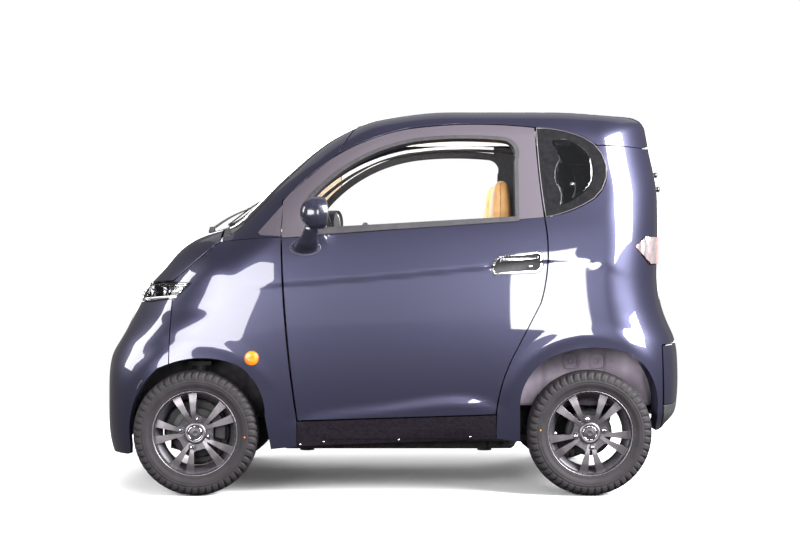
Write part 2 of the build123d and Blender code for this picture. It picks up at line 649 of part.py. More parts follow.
def arm_leg(outer_end, inner_end, z):
    """A wishbone leg in plan."""
    (xa, ya), (xb, yb) = outer_end, inner_end
    length = sqrt((xb - xa) ** 2 + (yb - ya) ** 2)
    place = Plane(origin=((xa + xb) / 2, (ya + yb) / 2, z), x_dir=(xb - xa, yb - ya, 0), z_dir=(0, 0, 1))
    leg = place * Box(length + 24, 20, ARM_T)
    return leg & block((-FAR, FAR), (inner_end[1], FAR), (0, FAR))


def make_knuckle():
    """The left knuckle: a sleeve on the kingpin, the stub axle and the brake caliper."""
    sleeve = Pos(FRONT_AXLE_X, KINGPIN_Y, AXLE_Z) * Cylinder(SLEEVE_R, SLEEVE_H)
    stub = cross_rod(FRONT_AXLE_X, AXLE_Z, STUB_R, KINGPIN_Y, WHEEL_Y + STUB_REACH)
    bore = Pos(FRONT_AXLE_X, KINGPIN_Y, AXLE_Z) * Cylinder(KINGPIN_R + RUNNING, FAR)
    return (sleeve + stub) - bore


def make_liner(outline):
    """A band just inside a wheel arch's edge, right across the car."""
    return side_prism(outline, LINER_ROOM + LINER_T) - side_prism(outline, LINER_ROOM)


def revolved(profile):
    """A solid turned about the Y axis from a closed (radius, y) outline."""
    face = Face(wire_of(profile, lambda p: Vector(p[0], p[1], 0)))
    return Solid.revolve(face, 360, Axis.Y)


def make_tyre():
    """A tyre about the Y axis, its outer side towards +Y: tread, shoulders, sidewalls and beads."""
    w, tread = TYRE_W / 2, TYRE_W / 2 - 14
    outline = ((BEAD_R, -50), [
        (BEAD_R, -56.5), (171.5, -57.6), ((205, -w), (232, -w + 5)), ((244, -w + 7), (TYRE_R - 3, -tread)),
        ((TYRE_R, 0), (TYRE_R - 3, tread)), ((244, w - 7), (232, w - 5)), ((205, w), (171.5, 57.6)),
        (BEAD_R, 56.5), (BEAD_R, 50), (168, 48), ((206, 60), (230, 52)), (238, 30), (238, -30), (230, -52),
        ((206, -60), (168, -48)), (BEAD_R, -50)])
    return revolved(outline)


def make_rim():
    """A rim about the Y axis: barrel, dished spoke pairs, hub, brake disc and stub bore."""
    half = RIM_W / 2
    barrel = revolved(((RIM_FLANGE_R, half), [
        (RIM_FLANGE_R, half - 4), (BEAD_R, half - 5), (BEAD_R, 36), (134, 26),
        (134, -26), (BEAD_R, -36), (BEAD_R, -half + 5), (RIM_FLANGE_R, -half + 4),
        (RIM_FLANGE_R, -half), (162, -half), (145, -46), (145, -34), (127, -22), (127, 22), (145, 36),
        (146, 48), (163, half), (RIM_FLANGE_R, half)]))
    spokes = []
    for n in range(SPOKE_PAIRS):
        for sense in (-1, 1):
            inner, outer_end = sense * 12, sense * 27
            leg = wire_of(((58, inner - 9), [(150, outer_end - 7), (150, outer_end + 7),
                                             (58, inner + 9), (58, inner - 9)]),
                          lambda p: Vector(p[0], 26, p[1]))
            face = Face(leg)
            spoke = Solid.extrude(face, Vector(0, 20, 0))
            spokes.append(Rot(0, -n * 360 / SPOKE_PAIRS, 0) * spoke)
    hub = revolved(((0, 44), [(70, 38), (76, 30), (76, 18), (30, 8), (30, -HUB_BACK), (0, -HUB_BACK),
                              (0, 44)]))
    disc = revolved(((0, -6), [(102, -6), (102, -14), (0, -14), (0, -6)]))
    whole = fused(barrel, *spokes, hub, disc)
    whole = whole & revolved(RIM_ENVELOPE)
    bore = cross_rod(0, 0, STUB_R + RUNNING, -HUB_BACK - 1, STUB_REACH + PIVOT_CLEARANCE)
    return whole - bore


# ---------------------------------------------------------------- all nodes
def main():
    """Makes and writes every node."""
    os.makedirs("parts", exist_ok=True)
    pieces, outer, inner = make_body()
    add_hinge_pins(pieces)
    pieces |= make_chassis()
    pieces |= make_cabin(inner, pieces["chassis_rails"])
    liners = fused(make_liner(FRONT_ARCH), make_liner(REAR_ARCH)) - block(
        (-FAR, FAR), (-LINER_Y, LINER_Y), (-FAR, FAR))
    pieces["arch_liners"] = liners & inner & block((-FAR, FAR), (-FAR, FAR), (FLOOR_Z + FLOOR_T, FAR))
    pieces["knuckle_left"] = make_knuckle()
    tyre, rim = make_tyre(), make_rim()
    for end, x in (("front", FRONT_AXLE_X), ("rear", REAR_AXLE_X)):
        place = Pos(x, WHEEL_Y, AXLE_Z)
        pieces[f"tyre_{end}_left"] = place * tyre
        pieces[f"rim_{end}_left"] = place * rim
    pieces["wiper"] = make_wiper() - outer
    for name in [n for n in pieces if n.endswith("_left")]:
        pieces[name.replace("_left", "_right")] = mirrored(pieces[name])
    for name, shape in pieces.items():
        write(name, shape)


def make_wiper():
    """The wiper: spindle, arm and blade over the windscreen."""
    spindle = rod((762, 100, 1040), (768, 100, 1080), 11)
    arm = rod((768, 100, 1078), (670, 60, 1124), 5)
    blade = rod((695, -140, 1117), (655, 250, 1128), 5)
    return fused(spindle, arm, blade)


main()
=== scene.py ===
# %% [markdown]
# # A two-seat electric microcar
# This lesson dresses a CAD model of a small electric car. The CAD model brings the true sizes and the
# moving parts. Blender brings what the eye judges: smooth bodywork, real finishes and soft seats.
# First the frame is read. Every piece made below then rides on one of its bodies.

import bmesh
import bpy
import numpy as np
from mathutils import Matrix, Vector
from mathutils.geometry import delaunay_2d_cdt


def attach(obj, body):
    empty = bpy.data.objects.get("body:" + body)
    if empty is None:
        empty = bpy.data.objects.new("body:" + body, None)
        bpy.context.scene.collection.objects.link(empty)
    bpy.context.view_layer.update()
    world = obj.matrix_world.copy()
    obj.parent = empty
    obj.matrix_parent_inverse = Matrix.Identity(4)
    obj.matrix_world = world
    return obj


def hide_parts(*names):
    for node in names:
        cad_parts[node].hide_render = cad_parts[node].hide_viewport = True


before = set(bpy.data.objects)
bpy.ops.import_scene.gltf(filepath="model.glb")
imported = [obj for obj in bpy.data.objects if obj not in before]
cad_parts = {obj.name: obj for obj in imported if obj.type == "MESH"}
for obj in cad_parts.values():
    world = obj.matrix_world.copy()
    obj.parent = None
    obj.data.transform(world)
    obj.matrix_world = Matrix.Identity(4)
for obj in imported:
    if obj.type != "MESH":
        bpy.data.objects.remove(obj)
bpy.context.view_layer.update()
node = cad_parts
MM = 0.001
SIDES = (("left", 1), ("right", -1))

# %% [markdown]
# ## The form of the body
# A real body is drawn first as one smooth skin, and only then cut into panels along shut lines. The
# same is done here. The skin is the place where one formula is nought: it joins a side, a top, a nose
# and a tail, each read from a short table, and rounds the corners between them. A formula has no
# facets, so every panel cut from it carries clean reflections, and neighbours always meet flush.

# %% Tables of the body's form
SECTION = np.array([  # x, sill y, widest y, its z, belt y, its z, corner y, its z, corner bend, top z
    (1300, 664, 690, 480, 655, 700, 590, 822, 110, 855),
    (1050, 664, 690, 480, 655, 700, 590, 822, 110, 855),
    (930, 675, 698, 500, 665, 790, 588, 930, 125, 968),
    (800, 680, 700, 520, 668, 860, 592, 1012, 130, 1054),
    (700, 673, 700, 540, 670, 910, 604, 1044, 110, 1085),
    (655, 668, 701, 555, 671, 940, 606, 1052, 100, 1112),
    (600, 662, 702, 570, 671, 975, 604, 1098, 100, 1162),
    (434, 650, 703, 600, 672, 1030, 592, 1264, 110, 1325),
    (236, 642, 705, 620, 672, 1045, 546, 1426, 90, 1476),
    (60, 640, 706, 620, 672, 1060, 523, 1504, 80, 1538),
    (-234, 640, 708, 620, 673, 1080, 515, 1538, 80, 1568),
    (-650, 655, 712, 620, 676, 1100, 515, 1538, 80, 1567),
    (-950, 670, 712, 620, 676, 1100, 512, 1519, 80, 1552),
    (-1300, 670, 708, 620, 672, 1100, 505, 1496, 80, 1530)]) * MM
RING = np.array([  # z, nose x, tail x
    (100, 1180, -1110), (181, 1208, -1125), (256, 1217, -1157), (313, 1217, -1207),
    (445, 1217, -1217), (545, 1205, -1214), (610, 1164, -1203), (676, 1131, -1174),
    (737, 1108, -1151), (752, 1093, -1147), (770, 1087, -1143), (830, 1080, -1134),
    (870, 1072, -1132), (1039, 1064, -1135), (1204, 1064, -1133), (1406, 1064, -1095),
    (1484, 1064, -1080), (1560, 1064, -1060), (1640, 1064, -1035)]) * MM
SHOULDER = np.array([  # the crease under the windows: x, z, depth
    (760, 815, 0), (640, 826, 0), (566, 831, 2), (433, 841, 5), (97, 866, 6), (-373, 909, 6),
    (-588, 933, 6), (-747, 935, 5), (-813, 921, 4), (-883, 895, 2), (-960, 860, 0),
    (-1100, 800, 0)]) * MM
LOW_CREASE = np.array([  # the crease over the sill: x, z, depth
    (480, 300, 0), (380, 318, 2), (332, 337, 4), (30, 374, 8), (-256, 407, 10), (-333, 403, 8),
    (-412, 376, 3), (-480, 340, 0)]) * MM
FOOT_Z, BOW, BOW_Y = 120 * MM, 50 * MM, 434 * MM
NOSE_ROUND, TAIL_ROUND = 230 * MM, 170 * MM
STEP = 2 * MM


def soft_line(knots, values, soft):
    """A curve through table values. Between two knots it is the cubic whose end slopes are harmonic
    means, so it never overshoots, and the whole is then averaged under a bell of width soft."""
    order = np.argsort(knots)
    k, v = knots[order], values[order]
    gap = np.diff(k)
    rise = np.diff(v) / gap
    slope = np.zeros_like(v)
    same = rise[1:] * rise[:-1] > 0
    slope[1:-1][same] = 2 / (1 / rise[1:][same] + 1 / rise[:-1][same])
    x = np.arange(k[0], k[-1], STEP)
    i = np.clip(np.searchsorted(k, x, side="right") - 1, 0, len(gap) - 1)
    t = (x - k[i]) / gap[i]
    y = (v[i] * (1 + 2 * t) * (1 - t) ** 2 + slope[i] * gap[i] * t * (1 - t) ** 2
         + v[i + 1] * t * t * (3 - 2 * t) + slope[i + 1] * gap[i] * t * t * (t - 1))
    n = int(3 * soft / STEP)
    bell = np.exp(-0.5 * (np.arange(-n, n + 1) * STEP / soft) ** 2)
    y = np.convolve(np.pad(y, n, mode="edge"), bell / bell.sum(), mode="valid")
    return x, y


def reader(line):
    """Reads a soft line at any place."""
    return lambda at: np.interp(at, *line)


def flatness(line):
    """How far a slope makes a straight reading longer than the true distance, for the whole line."""
    x, y = line
    return reader((x, 1 / np.hypot(1, np.gradient(y, x))))


(SILL_Y, WIDE_Y, WIDE_Z, BELT_Y, BELT_Z, CORNER_Y, CORNER_Z, BEND) = (
    reader(soft_line(SECTION[:, 0], column, 25 * MM)) for column in SECTION[:, 1:9].T)
top_line = soft_line(SECTION[:, 0], SECTION[:, 9], 14 * MM)
nose_line = soft_line(RING[:, 0], RING[:, 1], 26 * MM)
tail_line = soft_line(RING[:, 0], RING[:, 2], 14 * MM)
TOP_Z, NOSE_X, TAIL_X = reader(top_line), reader(nose_line), reader(tail_line)
NOSE_SIDE_X = reader(soft_line(RING[:, 0], RING[:, 1], 70 * MM))
TOP_FLAT, NOSE_FLAT, TAIL_FLAT = flatness(top_line), flatness(nose_line), flatness(tail_line)
SHOULDER_Z, SHOULDER_D, LOW_Z, LOW_D = (
    reader(soft_line(t[:, 0], t[:, i], 30 * MM)) for t in (SHOULDER, LOW_CREASE) for i in (1, 2))
print("the tables give a body", round(NOSE_X(0.4) - TAIL_X(0.4), 3), "m long")


# %% The skin as one formula
def round_join(a, b, radius):
    """Where both distances are outside minus radius, they are joined by a quarter circle."""
    return np.minimum(-radius, np.maximum(a, b)) + np.hypot(
        np.maximum(a + radius, 0), np.maximum(b + radius, 0))


def smooth_step(t):
    """Nought below 0, one above 1, and a cubic between."""
    t = np.clip(t, 0, 1)
    return t * t * (3 - 2 * t)


ARCHES = ((770 * MM, 285 * MM, 270 * MM, 400 * MM), (-783 * MM, 290 * MM, 305 * MM, 300 * MM))
# each arch's centre x, centre z, radius, and the height where its lip has faded out
FLARE, LIP_WIDE, FLARE_WIDE = 4.5 * MM, 50 * MM, 45 * MM


def creases(x, z):
    """The shoulder steps out just over its line and fades upwards. The low crease leans out below
    its line, so it catches the light. Round each wheel arch the body swells to a crest, and the lip
    below the crest turns in again."""
    lips = 0
    for centre_x, centre_z, radius, low in ARCHES:
        out = np.hypot(x - centre_x, z - centre_z) - radius
        lips = lips + (1 - smooth_step((out - LIP_WIDE) / FLARE_WIDE)) * (
            0.3 + 0.7 * smooth_step(out / LIP_WIDE)) * smooth_step((z - low) / 0.15)
    over = z - SHOULDER_Z(x)
    shoulder = SHOULDER_D(x) * smooth_step(over / 0.016 + 0.5) * np.exp(-np.maximum(over, 0) / 0.11)
    under = LOW_Z(x) - z
    low = LOW_D(x) * smooth_step(under / 0.045) * (1 - smooth_step((under - 0.13) / 0.1))
    return shoulder + FLARE * lips + low


def skin(x, y, z):
    """Roughly the distance outside the body. The side is a parabola through sill, widest point and
    belt, then a straight lean to the roof corner, the top is a parabola across the car, and the nose
    and tail are bowed in plan."""
    a = np.abs(y)
    sill, wide, wide_z, belt, belt_z = SILL_Y(x), WIDE_Y(x), WIDE_Z(x), BELT_Y(x), BELT_Z(x)
    corner, corner_z, bend = CORNER_Y(x), CORNER_Z(x), BEND(x)
    k1 = (wide - sill) / (wide_z - FOOT_Z)
    k2 = ((belt - wide) / (belt_z - wide_z) - k1) / (belt_z - FOOT_Z)
    low = sill + k1 * (z - FOOT_Z) + k2 * (z - FOOT_Z) * (z - wide_z)
    high = belt + (corner - belt) * (z - belt_z) / (corner_z - belt_z)
    soft = 0.012 + 0.028 * smooth_step((x - 0.62) / 0.25)
    reach = (low + high - np.hypot(low - high, soft)) / 2 + 0.006 + creases(x, z)
    side = (a - reach) * 0.95
    crest, edge_z = TOP_Z(x), corner_z + 0.12 * bend
    top = (z - crest + (crest - edge_z) * (a / (corner - bend)) ** 2) * TOP_FLAT(x)
    bow = BOW * (a / BOW_Y) ** 2
    more = 1 + 0.55 * smooth_step((z - 0.60) / 0.22)
    aside = smooth_step((a - 0.25) / 0.3)
    nose = NOSE_X(z) + (NOSE_SIDE_X(z) - NOSE_X(z)) * aside
    ends = round_join(side, (x - nose + bow * more) * NOSE_FLAT(z), NOSE_ROUND)
    ends = round_join(ends, (TAIL_X(z) + bow - x) * TAIL_FLAT(z), TAIL_ROUND)
    shrink = smooth_step((x + 1.06) / 0.3) * (1 - 0.8 * smooth_step((x - 0.92) / 0.11))
    return round_join(ends, top, 0.045 + (1.28 * bend - 0.045) * shrink)

# %% [markdown]
# ## Reaching the skin
# A shut line is drawn in one flat view, as a body engineer draws it: from the side, from above or from
# behind. To bring it onto the skin, every point is sent along a ray and the ray is halved again and
# again until it meets the skin. All points go at once, as arrays.

# %% Rays to the skin
SPINE_FRONT, SPINE_REAR, WRAP_R = 0.80, -0.78, 0.70   # where the wrapping view starts to turn
RAY, HALVINGS = 1.3, 26                               # so long, halved so often, is under a micron


def meet(origin, way):
    """Halves the stretch along each ray until it ends on the skin."""
    low, high = np.zeros(len(origin)), np.full(len(origin), RAY)
    for _ in range(HALVINGS):
        middle = (low + high) / 2
        inside = skin(*(origin + way * middle[:, None]).T) < 0
        low, high = np.where(inside, middle, low), np.where(inside, high, middle)
    return origin + way * low[:, None]


def flat_view(axis, start, sign=1):
    """A view along one axis: the other two coordinates are given, and this one goes from start to
    the skin."""
    def view(uv):
        origin = np.insert(np.asarray(uv, float), axis, start, axis=1)
        return meet(origin, np.tile(np.eye(3)[axis] * sign, (len(origin), 1)))
    return view


from_side = flat_view(1, 0)              # (x, z) to the skin on the left
from_top = flat_view(2, 0.6)             # (x, y) to the skin overhead
from_behind = flat_view(0, -0.5, -1)     # (y, z) to the skin of the tail


def from_round(uv):
    """(s, z) to the skin: s is x along the side, and past the spine's ends it turns the ray round the
    corner to the middle of the nose or tail."""
    s, z = uv.T
    turn = np.clip((s - np.clip(s, SPINE_REAR, SPINE_FRONT)) / WRAP_R, -np.pi / 2, np.pi / 2)
    origin = np.column_stack([np.clip(s, SPINE_REAR, SPINE_FRONT), 0 * s, z])
    return meet(origin, np.column_stack([np.sin(turn), np.cos(turn), 0 * s]))


def to_round(points):
    """The wrapping view's (s, z) of points on the skin."""
    x, y, z = points.T
    spine = np.clip(x, SPINE_REAR, SPINE_FRONT)
    return np.column_stack([spine + np.arctan2(x - spine, y) * WRAP_R, z])


def slope_of_skin(points, reach=MM):
    """Unit outward directions, from differences a short reach each way."""
    e = np.eye(3) * reach
    g = np.column_stack([skin(*(points + d).T) - skin(*(points - d).T) for d in e])
    return g / np.maximum(np.linalg.norm(g, axis=1, keepdims=True), 1e-9)


S_NOSE, S_TAIL = SPINE_FRONT + WRAP_R * np.pi / 2, SPINE_REAR - WRAP_R * np.pi / 2
print("the nose of the wrapping view is at s =", round(S_NOSE, 3), "and its tail at", round(S_TAIL, 3))

# %% [markdown]
# ## Outlines and patches
# An outline is a list of points, and where a point has a partner the pair is an arc. A patch with four
# edges is blended across from its edges. A patch with an odd shape or holes is trimmed: a grid of
# points inside the outline is joined to the outline by triangles. Either way each point ends on the
# skin, so the two kinds meet without a step.

# %% Outlines, patches and meshes
UP = (0.0, 0.0, 1.0)
SPACE = 14 * MM                          # between the points inside a trimmed patch
WALL, BEVEL = 36 * MM, 2.2 * MM          # a body panel's thickness and its edge's rounding
PANE, FINE = 5 * MM, 1 * MM              # a pane's thickness, and the rounding of a fine edge


def arc(a, via, b, n):
    """Points on the circle through three points, from a to b, without b."""
    a, via, b = (np.array(p, float) for p in (a, via, b))
    m = np.array([via - a, b - a])
    centre = a + np.linalg.solve(2 * m, (m ** 2).sum(1))
    r = np.hypot(*(a - centre))
    ta, tv, tb = (np.arctan2(*(p - centre)[::-1]) for p in (a, via, b))
    span = (tb - ta) % (2 * np.pi)
    if (tv - ta) % (2 * np.pi) > span:
        span -= 2 * np.pi
    t = ta + span * np.arange(n) / n
    return centre + r * np.column_stack([np.cos(t), np.sin(t)])


def outline(start, steps, space=0.010, closed=True):
    """Evenly spaced points, in metres, along lines and arcs given in millimetres."""
    here, parts = start, []
    for step in steps:
        via, there = step if isinstance(step[0], tuple) else (None, step)
        n = max(1, int(np.ceil(np.hypot(there[0] - here[0], there[1] - here[1]) * MM / space)))
        if via is None:
            t = np.arange(n)[:, None] / n
            parts.append(np.array(here) + t * (np.array(there) - here))
        else:
            parts.append(arc(here, via, there, n))
        here = there
    if not closed:
        parts.append(np.array([here], float))
    return np.concatenate(parts) * MM


def even(path, n):
    """n points evenly spaced along a line of points."""
    path = np.asarray(path, float)
    run = np.concatenate([[0], np.cumsum(np.linalg.norm(np.diff(path, axis=0), axis=1))])
    at = np.linspace(0, run[-1], n)
    return np.column_stack([np.interp(at, run, column) for column in path.T])


def smooth_path(points, n):
    """n points along the smooth curve through the given ones: each span is a cubic whose end slopes
    come from its neighbours."""
    p = np.asarray(points, float)
    p = np.concatenate([2 * p[:1] - p[1:2], p, 2 * p[-1:] - p[-2:-1]])
    spans = len(p) - 3
    t = np.linspace(0, spans, 40 * spans + 1)
    i = np.minimum(t.astype(int), spans - 1)
    t = (t - i)[:, None]
    a, b, c, d = p[i], p[i + 1], p[i + 2], p[i + 3]
    line = 0.5 * (2 * b + (c - a) * t + (2 * a - 5 * b + 4 * c - d) * t ** 2
                  + (3 * b - a - 3 * c + d) * t ** 3)
    return even(line, n)


def inside(points, loop):
    """True for the points inside a closed outline: a ray to the right crosses it an odd number of
    times."""
    x, y = points[:, :1], points[:, 1:]
    a, b = loop, np.roll(loop, -1, axis=0)
    with np.errstate(divide="ignore", invalid="ignore"):
        at = a[:, 0] + (y - a[:, 1]) * (b[:, 0] - a[:, 0]) / (b[:, 1] - a[:, 1])
    return (((a[:, 1] > y) != (b[:, 1] > y)) & (x < at)).sum(1) % 2 == 1


def trimmed(loop, holes=(), space=SPACE):
    """Triangles over the flat region inside loop and outside holes. Returns points and faces."""
    loops = [loop, *holes]
    low, high = loop.min(0), loop.max(0)
    gx, gy = np.meshgrid(*(np.arange(low[i] + space / 3, high[i], space) for i in (0, 1)))
    grid = np.column_stack([gx.ravel(), gy.ravel()])
    keep = inside(grid, loop)
    for hole in holes:
        keep &= ~inside(grid, hole)
    grid = grid[keep]
    rim = np.concatenate(loops)
    near = np.concatenate([np.sqrt(((part[:, None] - rim) ** 2).sum(2).min(1))
                           for part in np.array_split(grid, max(1, len(grid) // 2000))])
    grid = grid[near > 0.55 * space]
    edges, first = [], 0
    for part in loops:
        i = np.arange(len(part))
        edges.append(np.column_stack([i, np.roll(i, -1)]) + first)
        first += len(part)
    everything = np.concatenate([rim, grid])
    out = delaunay_2d_cdt([tuple(p) for p in everything.tolist()],
                          np.concatenate(edges).tolist(), [], 0, 1e-7)
    points = np.array([tuple(p) for p in out[0]])
    faces = np.array([f for f in out[2] if len(f) == 3])
    middle = points[faces].mean(1)
    keep = inside(middle, loop)
    for hole in holes:
        keep &= ~inside(middle, hole)
    used, faces = np.unique(faces[keep], return_inverse=True)
    return points[used], faces.reshape(-1, 3)


def grid_faces(m, n, close_m=False, close_n=False):
    """Four-sided faces over m by n points, row by row."""
    i = np.arange(m if close_m else m - 1)[:, None]
    j = np.arange(n if close_n else n - 1)[None]
    i2, j2 = (i + 1) % m, (j + 1) % n
    return np.stack([i * n + j, i2 * n + j, i2 * n + j2, i * n + j2], -1).reshape(-1, 4)


def mesh(name, points, faces, smooth=True):
    """A new object from point and face arrays."""
    data = bpy.data.meshes.new(name)
    data.from_pydata(np.asarray(points, float).tolist(), [], [list(map(int, f)) for f in faces])
    data.validate()
    data.update()
    data.shade_smooth() if smooth else data.shade_flat()
    thing = bpy.data.objects.new(name, data)
    bpy.context.scene.collection.objects.link(thing)
    return thing


def add(thing, kind, **values):
    """Adds a modifier and sets it."""
    modifier = thing.modifiers.new(kind.title(), kind)
    for key, value in values.items():
        setattr(modifier, key, value)
    return modifier


def walled(points, inner, faces):
    """A patch closed with a second one: the two have like points, and a strip joins them all round."""
    n = len(points)
    a, b = faces.ravel(), np.roll(faces, -1, 1).ravel()
    rim = ~np.isin(a * n + b, b * n + a)
    a, b = a[rim], b[rim]
    strip = np.column_stack([b, a, a + n, b + n])
    return np.concatenate([points, inner]), [*faces.tolist(), *(faces[:, ::-1] + n).tolist(),
                                             *strip.tolist()]


def closed_wall(points, faces, thick):
    """A patch given a wall. The inner side is the outer one moved in along the skin's slope, read two
    centimetres wide so that a crease doesn't fold it."""
    points, faces = np.asarray(points, float), np.asarray(faces)
    return walled(points, points - slope_of_skin(points, 20 * MM) * thick, faces)


def panel(name, points, faces, wall, bevel=BEVEL):
    """A patch as a closed panel with rounded edges."""
    thing = mesh(name, *closed_wall(points, faces, wall))
    if bevel:
        add(thing, "BEVEL", width=bevel, segments=2, limit_method="ANGLE", angle_limit=0.7,
            harden_normals=True)
    return thing


def on_end(points, faces, side):
    """A left piece as it is, or with side -1 its twin on the right: y is turned round and so is the
    order of each face."""
    return np.asarray(points) * (1, side, 1), np.asarray(faces)[:, ::side]


def halves(points, faces):
    """A left half joined to its twin along the car's middle."""
    twin, back = on_end(points, faces, -1)
    everything = np.concatenate([points, twin])
    key = np.round(everything * 5000).astype(int)
    on_middle = np.abs(everything[:, 1]) < 2e-4
    everything[on_middle, 1] = 0
    number = np.arange(len(everything))
    middle = np.flatnonzero(on_middle)
    _, first, back_to = np.unique(key[middle][:, [0, 2]], axis=0, return_index=True,
                                  return_inverse=True)
    number[middle] = middle[first[back_to.ravel()]]
    used, faces = np.unique(number[np.concatenate([faces, back + len(points)])], return_inverse=True)
    return everything[used], faces.reshape(-1, back.shape[1])


def facing_out(points, faces):
    """Turns all faces round if they look inwards."""
    p, f = np.asarray(points), np.asarray(faces)
    normal = np.cross(p[f[:, 1]] - p[f[:, 0]], p[f[:, 2]] - p[f[:, 0]])
    outward = slope_of_skin(p[f].mean(1))
    return f if (normal * outward).sum() > 0 else f[:, ::-1]


def patch(view, loop, holes=(), space=SPACE):
    """A trimmed patch brought onto the skin."""
    flat, faces = trimmed(loop, holes, space)
    points = view(flat)
    return points, facing_out(points, faces)


def four_edges(low, high, start, end, m, n, spine):
    """A patch blended between four edges that share corners: the two ruled surfaces are added and the
    one through the corners is taken away. Low and high run from start to end. Each point then goes
    out to the skin along a ray from the spine, a stretch from x to x at a height inside the body."""
    low, high, start, end = even(low, m), even(high, m), even(start, n), even(end, n)
    u, v = np.linspace(0, 1, m)[:, None, None], np.linspace(0, 1, n)[None, :, None]
    along = (1 - v) * low[:, None] + v * high[:, None]
    across = (1 - u) * start[None] + u * end[None]
    corners = ((1 - u) * (1 - v) * low[0] + u * (1 - v) * low[-1]
               + (1 - u) * v * high[0] + u * v * high[-1])
    points = (along + across - corners).reshape(-1, 3)
    faces = grid_faces(m, n)
    x0, x1, height = spine
    origin = np.column_stack([np.clip(points[:, 0], x0, x1), *np.tile([[0], [height]], len(points))])
    way = points - origin
    points = meet(origin, way / np.linalg.norm(way, axis=1, keepdims=True))
    return points, facing_out(points, faces)


def sweep(path, profile, up, closed=False):
    """A profile carried along a path. At each point the profile's first axis is square to the path
    and its second lies along up, which is one direction or one for each point."""
    path, profile = np.asarray(path, float), np.asarray(profile, float)
    way = np.roll(path, -1, 0) - np.roll(path, 1, 0) if closed else np.gradient(path, axis=0)
    way /= np.linalg.norm(way, axis=1, keepdims=True)
    side = np.cross(way, np.broadcast_to(up, path.shape))
    side /= np.linalg.norm(side, axis=1, keepdims=True)
    up = np.cross(side, way)
    n = len(profile)
    points = (path[:, None] + side[:, None] * profile[None, :, :1]
              + up[:, None] * profile[None, :, 1:]).reshape(-1, 3)
    faces = grid_faces(len(path), n, close_m=closed, close_n=True).tolist()
    if not closed:
        faces += [list(range(n))[::-1], list(range((len(path) - 1) * n, len(path) * n))]
    return points, faces


def weld(thing, gap=1e-5):
    """Merges points nearer than gap and turns the faces outwards."""
    work = bmesh.new()
    work.from_mesh(thing.data)
    if gap:
        bmesh.ops.remove_doubles(work, verts=work.verts, dist=gap)
    bmesh.ops.recalc_face_normals(work, faces=work.faces)
    work.to_mesh(thing.data)
    work.free()
    return thing


def swept(name, path, profile, body, slot, material, up=None, closed=False):
    """A piece swept along a path. Without another direction, up is the skin's slope there."""
    thing = mesh(name, *sweep(path, profile, slope_of_skin(path) if up is None else up, closed))
    return settle_on(weld(thing, 0), body, slot, material)


def ring_profile(radius, n):
    """A round profile."""
    t = np.arange(n) * 2 * np.pi / n
    return np.column_stack([np.cos(t), np.sin(t)]) * radius


def spun(profile, n, centre=(0, 0, 0), axis="y", closed=False):
    """Points and faces of a (radius, height) profile turned about an axis through centre."""
    radius, height = np.asarray(profile, float).T
    t = np.arange(n)[:, None] * 2 * np.pi / n
    a, b, h = radius * np.cos(t), radius * np.sin(t), height + 0 * t
    points = np.stack({"x": (h, a, b), "y": (a, h, b), "z": (a, b, h)}[axis], -1).reshape(-1, 3)
    return points + centre, grid_faces(n, len(radius), close_m=True, close_n=closed)


def lathe(name, profile, n, centre, axis="y", closed=False):
    """A turned piece. Where its profile ends on the axis the points there are merged."""
    return weld(mesh(name, *spun(profile, n, centre, axis, closed)))


def knobs(name, profile, n, at, body, slot, material, axis="y", closed=False):
    """A small turned piece on each side of the car, from a profile in millimetres."""
    for end, side in SIDES:
        q = np.array(profile, float) * (1, side if axis == "y" else 1) * MM
        settle_on(lathe(f"{name}_{end}", q, n, at * np.array((1, side, 1)), axis, closed),
                  body.replace("_left", "_" + end), slot, material)


def joined(name, parts, smooth=True):
    """One object from several (points, faces) pairs."""
    points, faces, first = [], [], 0
    for p, f in parts:
        points.append(np.asarray(p, float))
        faces += [[i + first for i in face] for face in f]
        first += len(p)
    return mesh(name, np.concatenate(points), faces, smooth)


def settle_on(thing, body, slot, material, stands_for=()):
    """Gives a piece its finish and its body, and hides the CAD pieces it stands for. The slot is not
    used.
    """
    thing.data.materials.clear()
    for m in material if isinstance(material, (list, tuple)) else [material]:
        thing.data.materials.append(m)
    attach(thing, body)
    if stands_for:
        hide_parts(*stands_for)
    return thing


def lifted(points, by):
    """Points moved out of the skin."""
    return points + slope_of_skin(points) * by


def pair(name, points, faces, body, slot, material, stands_for="", wall=WALL, bevel=BEVEL):
    """A left piece and its right twin. A body or node name that ends in _left has a right twin too."""
    for end, side in SIDES:
        thing = panel(f"{name}_{end}", *on_end(points, faces, side), wall, bevel)
        nodes = [n.replace("_left", "_" + end) for n in stands_for.split()]
        settle_on(thing, body.replace("_left", "_" + end), slot, material, nodes)


def side_piece(name, loop, holes, space, body, slot, material, stands_for="", wall=WALL,
               bevel=BEVEL, lift=0, inward=0):
    """A piece drawn from the side, lifted out of the skin or moved straight inwards, and its twin."""
    points, faces = patch(from_side, loop, holes, space)
    pair(name, lifted(points, lift) - (0, inward, 0), faces, body, slot, material, stands_for, wall,
         bevel)


def single(name, view, loop, holes, space, body, slot, material, stands_for=(), wall=WALL,
           bevel=BEVEL, lift=0):
    """One piece in a view's outline."""
    points, faces = patch(view, loop, holes, space)
    return settle_on(panel(name, lifted(points, lift), faces, wall, bevel), body, slot, material,
                     stands_for)


print("tools ready")

# %% [markdown]
# ## Finishes
# Each finish is a small set of nodes that reads the piece's own coordinates: a noise gives the colour
# two shades, the roughness a range and the surface its grain. Metallic paint is two layers, a rough
# metal base full of flakes and a hard clear coat, and it is the coat that shows the studio's lights.

